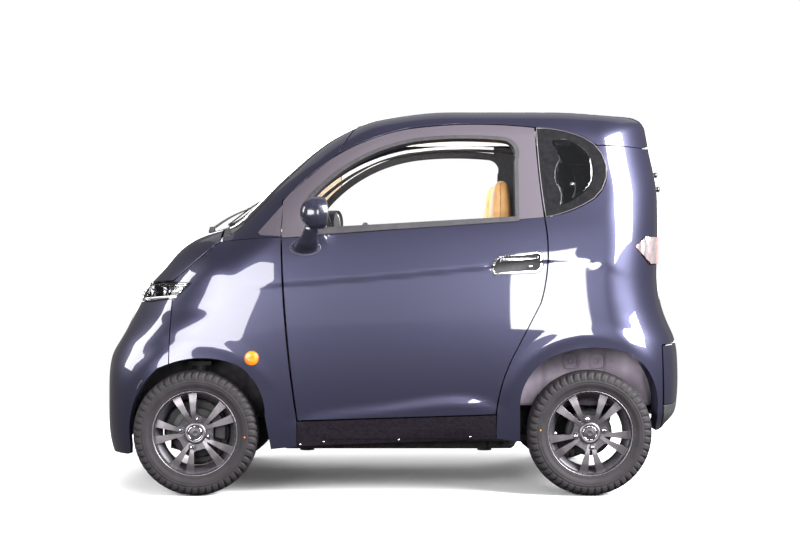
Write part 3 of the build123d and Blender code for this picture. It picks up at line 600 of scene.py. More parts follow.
# %% A finish from noise
def finish(name, dark, light, rough, scale, bump=0.0, bump_scale=None, detail=4, **values):
    """A material whose colour goes from dark to light with a noise, whose roughness has a range, and
    whose grain is bump metres high. Other values are set on the shader as they are."""
    m = bpy.data.materials.new(name)
    m.use_nodes = True
    tree = m.node_tree
    shader = tree.nodes["Principled BSDF"]

    def new(kind, **sockets):
        n = tree.nodes.new(kind)
        for key, value in sockets.items():
            n.inputs[key.replace("_", " ")].default_value = value
        return n

    place = new("ShaderNodeTexCoord")
    noise = new("ShaderNodeTexNoise", Scale=scale, Detail=detail)
    tree.links.new(place.outputs["Object"], noise.inputs["Vector"])
    ramp = tree.nodes.new("ShaderNodeValToRGB")
    ramp.color_ramp.elements[0].position, ramp.color_ramp.elements[1].position = 0.35, 0.65
    ramp.color_ramp.elements[0].color = (*dark, 1)
    ramp.color_ramp.elements[1].color = (*light, 1)
    tree.links.new(noise.outputs["Fac"], ramp.inputs["Fac"])
    tree.links.new(ramp.outputs["Color"], shader.inputs["Base Color"])
    span = new("ShaderNodeMapRange", To_Min=rough[0], To_Max=rough[1])
    tree.links.new(noise.outputs["Fac"], span.inputs["Value"])
    tree.links.new(span.outputs["Result"], shader.inputs["Roughness"])
    if bump:
        grain = new("ShaderNodeTexNoise", Scale=bump_scale or scale * 8, Detail=3)
        tree.links.new(place.outputs["Object"], grain.inputs["Vector"])
        raised = new("ShaderNodeBump", Strength=1.0, Distance=bump)
        tree.links.new(grain.outputs["Fac"], raised.inputs["Height"])
        tree.links.new(raised.outputs["Normal"], shader.inputs["Normal"])
    for key, value in values.items():
        shader.inputs[key.replace("_", " ")].default_value = value
    return m


PAINT = finish("metallic_paint", (0.025, 0.025, 0.050), (0.034, 0.034, 0.066), (0.34, 0.39), 900,
               0.00002, 2400, detail=2, Metallic=0.75, Coat_Weight=1.0, Coat_Roughness=0.025)
SATIN = finish("satin_frame_paint", (0.061, 0.052, 0.065), (0.074, 0.063, 0.078), (0.42, 0.50), 500,
               0.00001, 1500, Metallic=0.35)
RUBBER = finish("rubber_seal", (0.012, 0.011, 0.014), (0.022, 0.020, 0.024), (0.5, 0.62), 60,
                0.00004, 900)
PLASTIC = finish("moulded_black_plastic", (0.018, 0.018, 0.020), (0.030, 0.029, 0.032), (0.5, 0.62),
                 80, 0.00012, 1400)
NAVY = finish("gloss_dark_paint", (0.010, 0.010, 0.018), (0.016, 0.016, 0.028), (0.20, 0.26), 60,
              Coat_Weight=0.6, Coat_Roughness=0.03)
GLOSS = finish("gloss_black_plastic", (0.008, 0.008, 0.010), (0.014, 0.014, 0.017), (0.10, 0.16), 40,
               Coat_Weight=0.6, Coat_Roughness=0.03)
TINTED = finish("tinted_glass", (0.030, 0.032, 0.034), (0.036, 0.038, 0.040), (0.03, 0.05), 20,
                Transmission_Weight=0.92, IOR=1.05, Coat_Weight=0.8, Coat_Roughness=0.02)
CLEAR = finish("clear_glass", (0.90, 0.95, 0.94), (0.93, 0.97, 0.96), (0.0, 0.01), 10,
               Transmission_Weight=1.0, IOR=1.02, Coat_Weight=0.5, Coat_Roughness=0.01)
BORDER = finish("black_glass_border", (0.006, 0.006, 0.007), (0.010, 0.010, 0.011), (0.06, 0.10), 50,
                Coat_Weight=1.0, Coat_Roughness=0.02)
LENS = finish("clear_lamp_lens", (0.86, 0.86, 0.88), (0.92, 0.92, 0.94), (0.0, 0.02), 15,
              Transmission_Weight=1.0, IOR=1.04, Coat_Weight=0.25, Coat_Roughness=0.02)
CHROME = finish("bright_chrome", (0.62, 0.62, 0.65), (0.70, 0.70, 0.72), (0.06, 0.12), 60, Metallic=1.0)
RED = finish("red_lamp", (0.42, 0.015, 0.012), (0.55, 0.03, 0.02), (0.08, 0.14), 60, 0.0003, 160,
             Transmission_Weight=0.35, Coat_Weight=0.6, Coat_Roughness=0.03)
CLEAR_RED = finish("pale_red_lamp", (0.55, 0.20, 0.19), (0.66, 0.30, 0.28), (0.06, 0.12), 50, 0.0002,
                   180, Transmission_Weight=0.5, Coat_Weight=0.7, Coat_Roughness=0.02)
PINK = finish("pale_lamp_lens", (0.36, 0.31, 0.33), (0.50, 0.43, 0.44), (0.10, 0.18), 40, 0.0002, 200,
              Metallic=0.75, Coat_Weight=0.8, Coat_Roughness=0.02)
AMBER = finish("amber_lamp", (0.62, 0.12, 0.002), (0.74, 0.17, 0.004), (0.25, 0.35), 70, 0.0003, 240,
               Coat_Weight=0.3, Coat_Roughness=0.1)
ALLOY = finish("machined_alloy", (0.130, 0.120, 0.130), (0.150, 0.138, 0.150), (0.38, 0.42), 14,
               detail=1, Metallic=0.95)
ALLOY_DARK = finish("dark_wheel_paint", (0.028, 0.026, 0.032), (0.048, 0.044, 0.052), (0.38, 0.5), 120,
                    0.00004, 700, Metallic=0.4)
TYRE = finish("tyre_rubber", (0.008, 0.007, 0.008), (0.015, 0.012, 0.015), (0.62, 0.80), 26, 0.00025,
              500, Specular_IOR_Level=0.3)
DISC = finish("brake_disc_iron", (0.012, 0.011, 0.012), (0.026, 0.024, 0.025), (0.5, 0.65), 40, 0.0001,
              400, Metallic=0.3)
CHASSIS = finish("chassis_black", (0.010, 0.010, 0.011), (0.024, 0.022, 0.023), (0.45, 0.65), 25,
                 0.0002, 260, Specular_IOR_Level=0.3)
# A darker, duller copy of the body paint: painted shade for the sill and its step, which face down and
# get little light
SHADED_SILL_FINISH = finish("sill_paint_darkened_as_shade", (0.006, 0.004, 0.007), (0.010, 0.008, 0.011), (0.30, 0.38), 90,
                   Specular_IOR_Level=0.15)
LINER = finish("arch_liner_felt", (0.030, 0.027, 0.032), (0.060, 0.054, 0.062), (0.75, 0.9), 30,
               0.0006, 500)
PALE_LINER = finish("pale_liner", (0.19, 0.16, 0.21), (0.27, 0.23, 0.28), (0.6, 0.8), 14, 0.0003, 300)
LEATHER_DARK = finish("tan_leather_welt", (0.34, 0.17, 0.06), (0.42, 0.22, 0.08), (0.45, 0.6), 60,
                      0.0001, 500)
LEATHER = finish("tan_leather", (0.47, 0.24, 0.075), (0.57, 0.31, 0.11), (0.42, 0.55), 22, 0.00025,
                 420, Coat_Weight=0.08)
CREAM = finish("cream_lining", (0.78, 0.60, 0.44), (0.86, 0.70, 0.54), (0.7, 0.85), 60, 0.0002, 700)
WHITE = finish("pale_headliner", (0.78, 0.76, 0.74), (0.88, 0.87, 0.85), (0.8, 0.92), 90, 0.0003, 800)
BATTERY = finish("battery_case", (0.05, 0.055, 0.06), (0.08, 0.085, 0.09), (0.4, 0.55), 30, 0.0001, 500)
MIRROR = finish("mirror_glass", (0.72, 0.74, 0.74), (0.80, 0.82, 0.82), (0.02, 0.05), 10, Metallic=0.9)
print(len(bpy.data.materials), "finishes")

# %% [markdown]
# ## Doors
# A door is one pressed skin below the window line and a satin frame above it, hung as one. The
# outlines are the real shut lines seen from the side: the front edge leans, the rear edge sweeps
# forward over the wheel. Each is trimmed from the skin, given the thickness of a door and rounded
# along its edges, because it is that small radius which makes a shut line read as two edges.

# %% Doors and window frames
DOOR_TOP = [((219, 1366), (-61, 1470)), ((-300, 1489), (-572, 1475)), ((-581, 1300), (-599.5, 1109))]
DOOR_REAR = [((-610, 930), (-582, 768)), (-480, 570)]
DOOR_FOOT = [((-432, 455), (-406, 328)), (378, 303)]
WINDOW = outline((300, 1068), [
    (-500, 1112), (-502, 1345), ((-492, 1412), (-440, 1436)), ((-270, 1443), (-100, 1432)),
    ((139, 1353), (338, 1193)), (300, 1068)])
HANDLE = outline((-436, 957), [
    (-560, 971), ((-586, 966), (-589, 938)), ((-584, 899), (-552, 888)), (-420, 881),
    ((-395, 886), (-394, 908)), ((-408, 945), (-436, 957))], 0.004)
SEAL_IN = outline((287, 1067), [
    (-487, 1110), (-489, 1345), ((-480, 1402), (-436, 1423)), ((-268, 1430), (-104, 1419)),
    ((130, 1342), (322, 1188)), (287, 1067)])
side_piece("door_window_frame", outline((442, 1028), [
    (443, 1176), *DOOR_TOP, (312, 1036), (442, 1028)]), [WINDOW], 0.012, "door_left", "satin_trim",
    SATIN, "window_frame_left")


def inset(loop, by):
    """A closed outline moved inwards. Points that come too near another side are dropped."""
    way = np.roll(loop, -1, 0) - np.roll(loop, 1, 0)
    out = np.column_stack([way[:, 1], -way[:, 0]]) / np.linalg.norm(way, axis=1, keepdims=True)
    area = (loop[:, 0] * np.roll(loop[:, 1], -1) - np.roll(loop[:, 0], -1) * loop[:, 1]).sum()
    moved = loop - out * by * np.sign(area)
    quarters = np.arange(4)[:, None, None] / 4
    fine = (loop + quarters * (np.roll(loop, -1, 0) - loop)).reshape(-1, 2)
    near = np.sqrt(((moved[:, None] - fine) ** 2).sum(2).min(1))
    return moved[near > abs(by) * 0.97]


side_piece("door_skin", outline((378, 303), [
    ((422, 690), (442, 1025)), (312, 1033), (-599, 1107), *DOOR_REAR, *DOOR_FOOT]),
    [inset(HANDLE, 6 * MM)], SPACE, "door_left", "paint", PAINT, "door_left")

# %% [markdown]
# A wound-down window leaves a rubber channel all round its opening. It is thicker along the sill,
# where the outer and inner wipers stand. Both are rings between two outlines.

# %% Window seals and inner frames
TRIM_LOOP = inset(outline((378, 303), [
    ((423, 690), (440, 1040)), (312, 1050), (-592, 1120), ((-606, 930), (-580, 768)), (-480, 570),
    *DOOR_FOOT]), 22 * MM)
for name, loop, holes, space, material, wall, bevel, lift, inward in (
        ("window_seal", inset(WINDOW, -1.5 * MM), [SEAL_IN], 0.006, RUBBER, 30, 1.8, 2, 0),
        ("window_sill_seal",
         outline((300, 1040), [(-502, 1093), (-501, 1112), (294, 1067), (300, 1040)]), [], 0.006,
         RUBBER, 24, 3, 5, 0),
        ("window_inner_frame", inset(WINDOW, -13 * MM), [inset(SEAL_IN, 3 * MM)], 0.010, PLASTIC, 10, 3,
         0, 41),
        ("door_trim", TRIM_LOOP, [], 0.022, PLASTIC, 14, 4, 0, 40)):
    side_piece(name, loop, holes, space, "door_left", "black_plastic", material, "", wall * MM,
               bevel * MM, lift * MM, inward * MM)

doorway = outline((443, 1176), [*DOOR_TOP, *DOOR_REAR, *DOOR_FOOT], closed=False)
line = from_side(doorway[::2])
for end, side in SIDES:
    swept(f"doorway_seal_{end}", lifted(line, -(WALL + 13 * MM)) * (1, side, 1),
          ring_profile(9 * MM, 10), "chassis", "black_plastic", RUBBER)

# %% [markdown]
# ## Wings, sills, quarters and bumpers
# The wing and the sill are flat enough to be drawn from the side. The quarter panel and both bumpers
# go round a corner, where a side view would squeeze them. They are drawn in a wrapping view instead:
# along the side it is the side view, and at the corners it turns with the body.

# %% Wings and sills
side_piece("wing", outline((888, 528), [
    (888, 782), (871, 785), (806, 848), (893, 852), (697, 1013), (611, 1020), (448, 1029),
    ((431, 690), (384, 297)), (384, 197), (486, 186), (509, 320), ((540, 445), (615, 522)),
    ((757, 551), (888, 528))], 0.008), [], 0.013, "chassis", "paint", PAINT, "wings")
# The sill is body paint but takes the darkened copy, a painted shade along the underside of the body
side_piece("sill", outline((381, 198), [
    (381, 296), (-408, 322), (-408, 228), (-28, 214), (381, 198)], 0.008), [], 0.012, "chassis",
    "paint", SHADED_SILL_FINISH, "sills")


def line_on(view, start, steps, space=0.010):
    """A line drawn in a view, on the skin."""
    return view(outline(start, steps, space, closed=False))


def on_side(start, steps, space=0.010):
    """A line drawn from the side, in the wrapping view."""
    return to_round(line_on(from_side, start, steps, space))


def round_spot(x, z):
    """One place seen from the side, in metres, in the wrapping view."""
    return to_round(from_side(np.array([(x, z)])))[0]


def straight(a, b, space=0.010):
    """Points on the straight line from a to b, ends included."""
    return even([a, b], max(2, int(np.hypot(*(np.array(b) - a)) / space)))


def round_loop(*parts):
    """One closed outline in the wrapping view, its parts joined by straight lines."""
    out = []
    for part, following in zip(parts, [*parts[1:], parts[0]]):
        out += [part, straight(part[-1], following[0])[1:-1]]
    loop = np.concatenate(out)
    step = np.linalg.norm(loop - np.roll(loop, 1, 0), axis=1)
    return loop[step > 0.002]


# %% Quarter panels
tail_edge = to_round(line_on(from_behind, (401, 1393), [(431, 1182), (431, 660), (406, 602)]))
lamp_end = to_round(from_behind(np.array([(0.46, 1.034), (0.46, 0.923)])))
lamp_side = on_side((-1030, 923), [(-965, 993), (-1012, 1034)])
TAIL_LAMP = round_loop(lamp_side, straight(lamp_side[-1], lamp_end[0]), straight(*lamp_end))
pair("quarter", *patch(from_round, round_loop(
    on_side((-411, 229), [(-412, 328), ((-438, 457), (-486, 573)), (-588, 770),
                          ((-616, 930), (-606, 1106))], 0.008),
    on_side((-606, 1109), [((-690, 1126), (-772, 1162)), ((-861, 1300), (-820, 1401))], 0.008),
    tail_edge,
    on_side((-1074, 602), [(-1081, 252)]),
    on_side((-1058, 252), [(-1056, 340), ((-1028, 475), (-945, 565)), ((-775, 592), (-622, 553)),
                           ((-540, 478), (-503, 345)), (-505, 216)], 0.008)),
     [inset(TAIL_LAMP, -2 * MM)]),
     "chassis", "paint", PAINT, "quarters")


# %% Bumpers
def whole(name, view, loop, slot, material, stands_for=(), space=SPACE, wall=WALL, lift=0):
    """A fixed piece that goes right across the car, from the outline of its left half."""
    points, faces = patch(view, loop, space=space)
    thing = panel(name, *halves(lifted(points, lift), faces), wall)
    return settle_on(thing, "chassis", slot, material, stands_for)


whole("nose_bumper", from_round, round_loop(
    on_side((1057, 190), [(1059, 229), ((1030, 388), (933, 511)), (892, 527)], 0.008),
    on_side((892, 530), [(892, 781), (984, 768)]),
    np.array([(S_NOSE, 0.764)]), np.array([(S_NOSE, 0.152)]),
    on_side((1072, 156), [(1060, 160)])), "paint", PAINT, ["front_bumper"], wall=14 * MM)
for name, low, high, high_side, slot, material, stands_for in (
        ("tail_bumper", 360, 598, (-1080, 596), "paint", PAINT, ["rear_bumper"]),
        ("tail_bumper_foot", 252, 356, (-1087, 356), "black_plastic", PLASTIC, ())):
    whole(name, from_round, round_loop(
        on_side((-1087, low), [high_side]), np.array([(S_TAIL, high * MM)]),
        np.array([(S_TAIL, low * MM)])), slot, material, stands_for)

# %% [markdown]
# ## Roof, screen pillars, bonnet, cowl and tailgate
# Pillars and cowl bend about the car's length, so they are drawn in a barrel view, turned about a line
# along the car. The roof and the bonnet each have four clear edges, and a patch blended between four
# edges follows them more evenly than a cut grid would.

# %% The barrel view, the screen pillars and the cowl
BARREL_Z, BARREL_R = 0.80, 0.60


def from_barrel(uv):
    """(x, t) to the skin: t turns the ray from straight up towards the left side."""
    x, turn = uv[:, 0], uv[:, 1] / BARREL_R
    origin = np.column_stack([x, 0 * x, 0 * x + BARREL_Z])
    return meet(origin, np.column_stack([0 * x, np.sin(turn), np.cos(turn)]))


def to_barrel(points):
    """The barrel view's (x, t) of points on the skin."""
    return np.column_stack([points[:, 0], np.arctan2(points[:, 1], points[:, 2] - BARREL_Z) * BARREL_R])


def barrel_line(a_view, a, b_view, b):
    """A straight line of the barrel view between two places, each seen from the side or above."""
    ends = (to_barrel(view(np.array([place]) * MM))[0] for view, place in ((a_view, a), (b_view, b)))
    return from_barrel(straight(*ends))


pillar = round_loop(*(to_barrel(line_on(view, start, steps)) for view, start, steps in (
    (from_side, (449, 1031), [(611, 1023), (690, 1016)]),
    (from_top, (690, 560), [(690, 548), (656, 548), (156, 429)]),
    (from_side, (221, 1373), [(449, 1179)]))))
pair("screen_pillar", *patch(from_barrel, pillar, space=0.013), "chassis", "paint", PAINT, "pillars",
     30 * MM)
whole("cowl_panel", from_top, outline((790, 0), [
    ((765, 230), (690, 440)), (690, 542), (657, 542), ((694, 275), (706, 0)), (790, 0)]),
    "black_plastic", PLASTIC, ["cowl"], 0.012, 25 * MM)
side_piece("pillar_trim", outline((540, 1049), [(443, 1160), (449, 1034), (530, 1038), (540, 1049)],
                                  0.006), [], 0.009, "chassis", "satin_trim", SATIN, "", 6 * MM,
           1.5 * MM, 1.6 * MM)

# %% Roof and bonnet
corner = round_spot(-1.02, 1.397)
seam = from_round(straight(round_spot(-0.822, 1.405), corner))
roof_edge = np.concatenate([
    line_on(from_side, (219, 1374), [((77, 1437), (-61, 1477)), ((-300, 1495), (-566, 1482))]),
    line_on(from_side, (-575, 1480), [((-690, 1466), (-773, 1438)), (-818, 1407)]), seam[1:]])
front_half = np.concatenate([
    line_on(from_side, (219, 1374), [(214, 1385)]),
    barrel_line(from_side, (214, 1385), from_top, (146, 428))[1:],
    line_on(from_top, (146, 427), [((120, 215), (112, 0))])[1:]])
tail_top = from_behind(np.column_stack([np.linspace(0.40, 0, 40), np.full(40, 1.407)]))
rear_half = np.concatenate([from_round(straight(corner, to_round(tail_top[:1])[0]))[:-1], tail_top])


def mirrored_line(half):
    """A line from the left edge to the middle, carried on to the right edge."""
    return np.concatenate([half, half[-2::-1] * (1, -1, 1)])


bonnet_side = line_on(from_side, (700, 1019), [(860, 884), (897, 857)])
bonnet_front = from_round(even([round_spot(0.897, 0.857), (S_NOSE, 0.833)], 60))
bonnet_rear = np.concatenate([barrel_line(from_side, (700, 1019), from_top, (700, 434)),
                              line_on(from_top, (700, 434), [((773, 225), (798, 0))])[1:]])
for name, start, finish_line, side_line, m, n, spine, wall, body in (
        ("roof", front_half, rear_half, roof_edge, 73, 111, (-0.85, 0.0, 1.10), 28, "chassis"),
        ("bonnet", bonnet_rear, bonnet_front, bonnet_side, 97, 65, (0.74, 0.80, 0.62), 26, "bonnet")):
    points, faces = four_edges(mirrored_line(start), mirrored_line(finish_line), side_line,
                               side_line * (1, -1, 1), m, n, spine)
    settle_on(panel(f"{name}_panel", points, faces, wall * MM), body, "paint", PAINT, [name])

# %% Tailgate
TAIL_GLASS = outline((-378, 1010), [(378, 1010), (384, 1170), (352, 1340), (-352, 1340), (-384, 1170),
                                    (-378, 1010)])
TAIL_PANE = inset(TAIL_GLASS, 34 * MM)
single("tailgate_panel", from_behind, outline((-400, 606), [
    (400, 606), (425, 660), (425, 1180), (395, 1400), (-395, 1400), (-425, 1180), (-425, 660),
    (-400, 606)]), [TAIL_GLASS], SPACE, "tailgate", "paint", PAINT, ["tailgate"])
single("tailgate_glass_border", from_behind, inset(TAIL_GLASS, 1.5 * MM), [TAIL_PANE], SPACE,
       "tailgate", "tinted_glass", BORDER, (), PANE, FINE)
single("tailgate_pane", from_behind, TAIL_PANE, [], SPACE, "tailgate", "tinted_glass", TINTED,
       ["tailgate_glass"], PANE, 0)

# %% [markdown]
# ## Glass
# A bonded pane has a black printed border that hides the glue, and the body's edge stands a few
# millimetres from it. Border and pane are two patches of the same skin.

# %% Windscreen and quarter glass
def screen_loop(in_x, in_y):
    """The windscreen's outline from above, moved in by a border."""
    return outline((656 - in_x, -542 + in_y), [
        ((703 - in_x, 0), (656 - in_x, 542 - in_y)), (154 + in_x, 425 - in_y),
        ((123 + in_x, 0), (154 + in_x, -425 + in_y)), (656 - in_x, -542 + in_y)])


single("windscreen_border", from_top, screen_loop(0, 0), [screen_loop(42, 52)], 0.013, "chassis",
       "clear_glass", BORDER, (), PANE, FINE)
single("windscreen_pane", from_top, screen_loop(42, 52), [], 0.016, "chassis", "clear_glass", CLEAR,
       ["windscreen"], PANE, 0)
SIDE_GLASS = outline((-582, 1473), [
    ((-684, 1461), (-768, 1433)), ((-855, 1300), (-769, 1168)), ((-690, 1133), (-609, 1112)),
    ((-590, 1290), (-582, 1473))])
SIDE_PANE = outline((-640, 1420), [
    ((-700, 1425), (-752, 1400)), ((-805, 1290), (-740, 1195)), ((-700, 1170), (-665, 1160)),
    ((-672, 1200), (-655, 1240)), ((-652, 1300), (-672, 1345)), (-640, 1420)])
side_piece("quarter_glass_border", SIDE_GLASS, [SIDE_PANE], 0.010, "chassis", "tinted_glass", BORDER,
           "", PANE, FINE)
side_piece("quarter_pane", SIDE_PANE, [], 0.012, "chassis", "tinted_glass", TINTED, "quarter_glass",
           PANE, 0)

# %% [markdown]
# ## Tyres and wheels
# A tyre is a profile turned round the axle. The tread is pressed into it: where the pattern has a
# groove the radius is less. The pattern has four grooves round the tyre and slanted cuts across the
# shoulders, worked out on the grid of points itself.

# %% Tyres
TYRE_RADIUS = 250 * MM
WHEELS = {f"{row}_{end}": (x, side * 627.5, 250) for row, x in (("front", 787), ("rear", -783))
          for end, side in SIDES}
BLOCKS, AROUND = 52, 416
SLOT_PART, SLOT_LEAN = 0.3, 10   # a shoulder slot's share of a block, and its lean in turns a metre
SIPE_PART, SIPE_LEAN, SIPE_DEEP = 0.12, 22, 0.6   # the finer cuts, and their share of the depth
TREAD_DEEP, SLOT_DEEP, SLOT_WIDE = 6 * MM, 5 * MM, 4 * MM
GROOVES, GROOVE_WIDE = (-0.034, -0.012, 0.012, 0.034), 0.0022      # metres from the tyre's middle
RIBS_TO, CUTS_FROM, SHOULDER_FROM, EDGE_FROM, TREAD_TO = 0.033, 0.036, 0.047, 0.058, 0.0601
SHOULDER_R, CROWN_R = 0.2145, 0.232                                # slots start, and cut full depth
SIDEWALL = np.array([(163, 60.5), (168, 60.0), (172, 62.5), (176, 64.0), (179, 63.4), (186, 67.5),
                     (195, 70.6), (200, 71.6), (202, 70.9), (204, 71.9), (210, 72.2), (212, 70.6),
                     (214, 71.4), (220, 70.9), (227, 69.8), (233, 68.0), (236.5, 66.0),
                     (239.5, 63.0)]) * MM
TREAD_Y = np.linspace(60, -60, 31) * MM
tread_r = TYRE_RADIUS - 8 * MM * np.abs(TREAD_Y / 0.06) ** 2.4
tyre_profile = np.concatenate([SIDEWALL, np.column_stack([tread_r, TREAD_Y]), SIDEWALL[::-1] * (1, -1)])


def tread_depth(angle, y):
    """How deep the tread is cut, from nought to one: grooves round the tyre at four places, cuts that
    lean across the shoulders, and finer ones in the middle ribs."""
    turn = angle * BLOCKS / (2 * np.pi)
    rings = sum(np.exp(-((y - c) / GROOVE_WIDE) ** 4) for c in GROOVES)
    cuts = ((turn + np.abs(y) * SLOT_LEAN) % 1 < SLOT_PART) * (np.abs(y) > CUTS_FROM)
    sipes = ((turn + y * SIPE_LEAN) % 1 < SIPE_PART) * (np.abs(y) < RIBS_TO) * SIPE_DEEP
    return np.clip(rings + cuts + sipes, 0, 1)


def make_tyre(name, centre):
    """The profile turned about the axle. The tread pattern is taken from the radius, and the slots
    between the shoulder blocks from the radius and the width."""
    t = np.arange(AROUND)[:, None] * 2 * np.pi / AROUND
    r, y = tyre_profile[:, 0][None], tyre_profile[:, 1][None]
    on_tread = np.abs(y) <= TREAD_TO
    on_shoulder = (np.abs(y) > SHOULDER_FROM) * (r > SHOULDER_R)
    slot = ((t * BLOCKS / (2 * np.pi) + np.abs(y) * SLOT_LEAN) % 1 < SLOT_PART) * on_shoulder
    groove = np.where(on_tread & ~on_shoulder, tread_depth(t, y) * TREAD_DEEP, 0)
    radius = r - groove - slot * SLOT_DEEP * (r > CROWN_R)
    width = y - np.sign(y) * slot * SLOT_WIDE * (np.abs(y) > EDGE_FROM)
    points = np.stack([radius * np.cos(t), width + 0 * t, radius * np.sin(t)], -1).reshape(-1, 3)
    return weld(mesh(name, points + np.array(centre) * MM,
                     grid_faces(AROUND, len(tyre_profile), close_m=True, close_n=True)), 0)


for place, centre in WHEELS.items():
    tyre = make_tyre(f"road_tyre_{place}", centre)
    settle_on(tyre, f"wheel_{place}", "tyre", TYRE, [f"tyre_{place}"])
print("a tyre has", len(tyre.data.polygons), "faces")

# %% [markdown]
# The wheel is a casting with five pairs of spokes. Its face is a flat plate with ten windows, brought
# to a shallow dish, given depth and rounded. Real wheels of this kind are painted dark and then turned
# on a lathe, so the front faces are bright and the walls of the windows stay dark: the plate carries
# one finish and its walls the other.

# %% Wheel faces
FACE_R = 164 * MM
SPOKES = {"front_left": 106, "rear_left": 129, "front_right": 90, "rear_right": 70}


def rounded(corners, radius, n=5):
    """A closed outline with rounded corners: each corner becomes a curve between points a radius
    before and after it."""
    c = np.asarray(corners, float)
    before, after = np.roll(c, 1, 0), np.roll(c, -1, 0)

    def toward(a, b):
        d = b - a
        length = np.linalg.norm(d, axis=1, keepdims=True)
        return a + d * np.minimum(radius / length, 0.45)

    p, q = toward(c, before), toward(c, after)
    t = np.linspace(0, 1, n)[:, None, None]
    return ((1 - t) ** 2 * p + 2 * t * (1 - t) * c + t * t * q).transpose(1, 0, 2).reshape(-1, 2)


def polar(r, angle):
    """Points at radii and angles, in degrees."""
    a = np.radians(np.broadcast_to(angle, np.shape(r)) if np.ndim(r) else angle)
    return np.stack(np.broadcast_arrays(np.multiply(r, np.cos(a)), np.multiply(r, np.sin(a))), -1)


SPREAD = 0.353              # how fast the outer sides of a pair of spokes part


def turn_by(degrees):
    """The two rows that turn flat points by an angle."""
    t = np.radians(degrees)
    return np.array([(np.cos(t), np.sin(t)), (-np.sin(t), np.cos(t))])


def wheel_windows(first):
    """The outlines of the slots inside the pairs and the wide windows between them."""
    out = []
    for k in range(5):
        here, there = (turn_by(first + 72 * i) for i in (k, k + 1))
        slot = np.array([(64, -3.6), (150, -16.5), (157, -15), (159, 0), (157, 15), (150, 16.5),
                         (64, 3.6)]) * MM
        out.append(rounded(slot, 3 * MM) @ here)
        edge = np.array([(75, 21), (145, 21 + 70 * SPREAD)]) * MM
        rim = polar(np.full(7, 159 * MM), np.linspace(first + 72 * k + 18.6, first + 72 * k + 53.4, 7))
        inner = polar(np.full(3, 69 * MM), np.linspace(first + 72 * k + 25, first + 72 * k + 47, 3))
        out.append(rounded(np.concatenate([edge @ here, rim, edge[::-1] * (1, -1) @ there, inner[::-1]]),
                           6 * MM))
    return out


def spoke_faces(first):
    """The turned front faces of the ten spokes: each is a grid whose rows are arcs about the axle and
    whose two sides part evenly with the radius. Twins touch near the hub."""
    r = np.linspace(38, 162.5, 22)[:, None] * MM
    outer = 9 * MM + (r - 40 * MM) * SPREAD
    inner = np.where(r < 60 * MM, 0.15 * MM, 2.6 * MM + (r - 60 * MM) * 0.152)
    across = inner + (outer - inner) * np.linspace(0, 1, 6)
    along = np.sqrt(r ** 2 - across ** 2)
    return [(np.stack([along, way * across], -1).reshape(-1, 2) @ turn_by(first + 72 * k),
             grid_faces(22, 6)[:, ::way]) for k in range(5) for way in (1, -1)]


def dish(r):
    """How far the wheel's face stands out, by radius: a low hub ring, a crown and a fall to the lip."""
    return 0.040 + 0.008 * smooth_step((r - 0.03) / 0.06) - 0.004 * smooth_step((r - 0.12) / 0.04)


def set_out(flat, lift, centre, side):
    """Flat wheel points brought to the dished face of a wheel whose outside is on the given side."""
    x, y, z = np.array(centre) * MM
    out = dish(np.hypot(*flat.T)) + lift
    return np.column_stack([x - flat[:, 0], y + side * out, z + flat[:, 1]])


def facing(points, faces, side):
    """Turns flat faces towards the given side."""
    a, b, c = points[faces[0, :3]]
    return faces if np.cross(b - a, c - a)[1] * side > 0 else faces[:, ::-1]


def plate(thing, thick, edge, body, material):
    """A flat mesh given a thickness and a rounded edge."""
    add(thing, "SOLIDIFY", thickness=thick, offset=-1.0)
    add(thing, "BEVEL", width=edge, segments=2, limit_method="ANGLE", angle_limit=0.7,
        harden_normals=True)
    settle_on(thing, body, "alloy", material)


SHIELD_R, SHIELD_HOLE_R = 0.132, 0.045
NUT = [(0, 51.5), (4, 51.3), (6.6, 50.2), (8.4, 48.4), (8.6, 40), (0, 40)]
CUP = [(8.9, 44), (9.2, 46.3), (10, 46.6), (13.2, 46.9), (14.4, 46.2), (14.4, 40), (8.9, 40)]
TURNED = (  # name, finish, points round, closed or not, profile: radius, height over the wheel's middle
    ("wheel_lip", ALLOY, 144, True, [(161, 44), (162.5, 50), (164, 58), (165.5, 61.5), (168, 62.6),
                                     (170, 61.6), (171, 57), (167, 54), (163, 42)]),
    ("wheel_barrel", ALLOY_DARK, 96, True, [
        (164, 44), (154, 32), (141, 22), (136, 0), (136, -24), (152, -36), (158, -52), (168, -60),
        (170, -61), (170, -58), (160, -54), (156, -38), (142, -26), (141, 0), (145, 20), (157, 30),
        (166, 42)]),
    ("hub_cap", ALLOY_DARK, 64, False, [(0, 50.2), (9, 50.2), (10, 50.8), (11.5, 50.8), (12.5, 50.1),
                                        (20, 49.8), (24, 48.8), (24.6, 46), (24.6, 40), (0, 40)]),
    ("hub_cap_ring", CHROME, 64, True, [(25, 42), (25, 49.2), (26, 50.4), (27.5, 50.4), (28.5, 49),
                                        (28.5, 42)]),
    ("hub_ring", ALLOY, 64, True, [(29.5, 40), (29.5, 46.5), (31, 48.2), (37, 48.2), (42, 46.4),
                                   (43, 44), (43, 40)]),
    ("hub_back", ALLOY_DARK, 64, False, [(0, 26), (60, 24), (66, 14), (66, 4), (30, 0), (0, 0)]))
DISC_TURNED = ("brake_disc", DISC, 72, True, [(30, 4), (98, 4), (100, 2), (100, -6), (98, -8), (30, -8)])
DRUM_TURNED = ("brake_drum", CHASSIS, 72, False, [(0, 6), (80, 5), (92, 0), (94, -8), (94, -30),
                                                  (0, -30)])
MARK_ANGLE = {"front_left": -4, "rear_left": 176, "front_right": 90, "rear_right": 90}
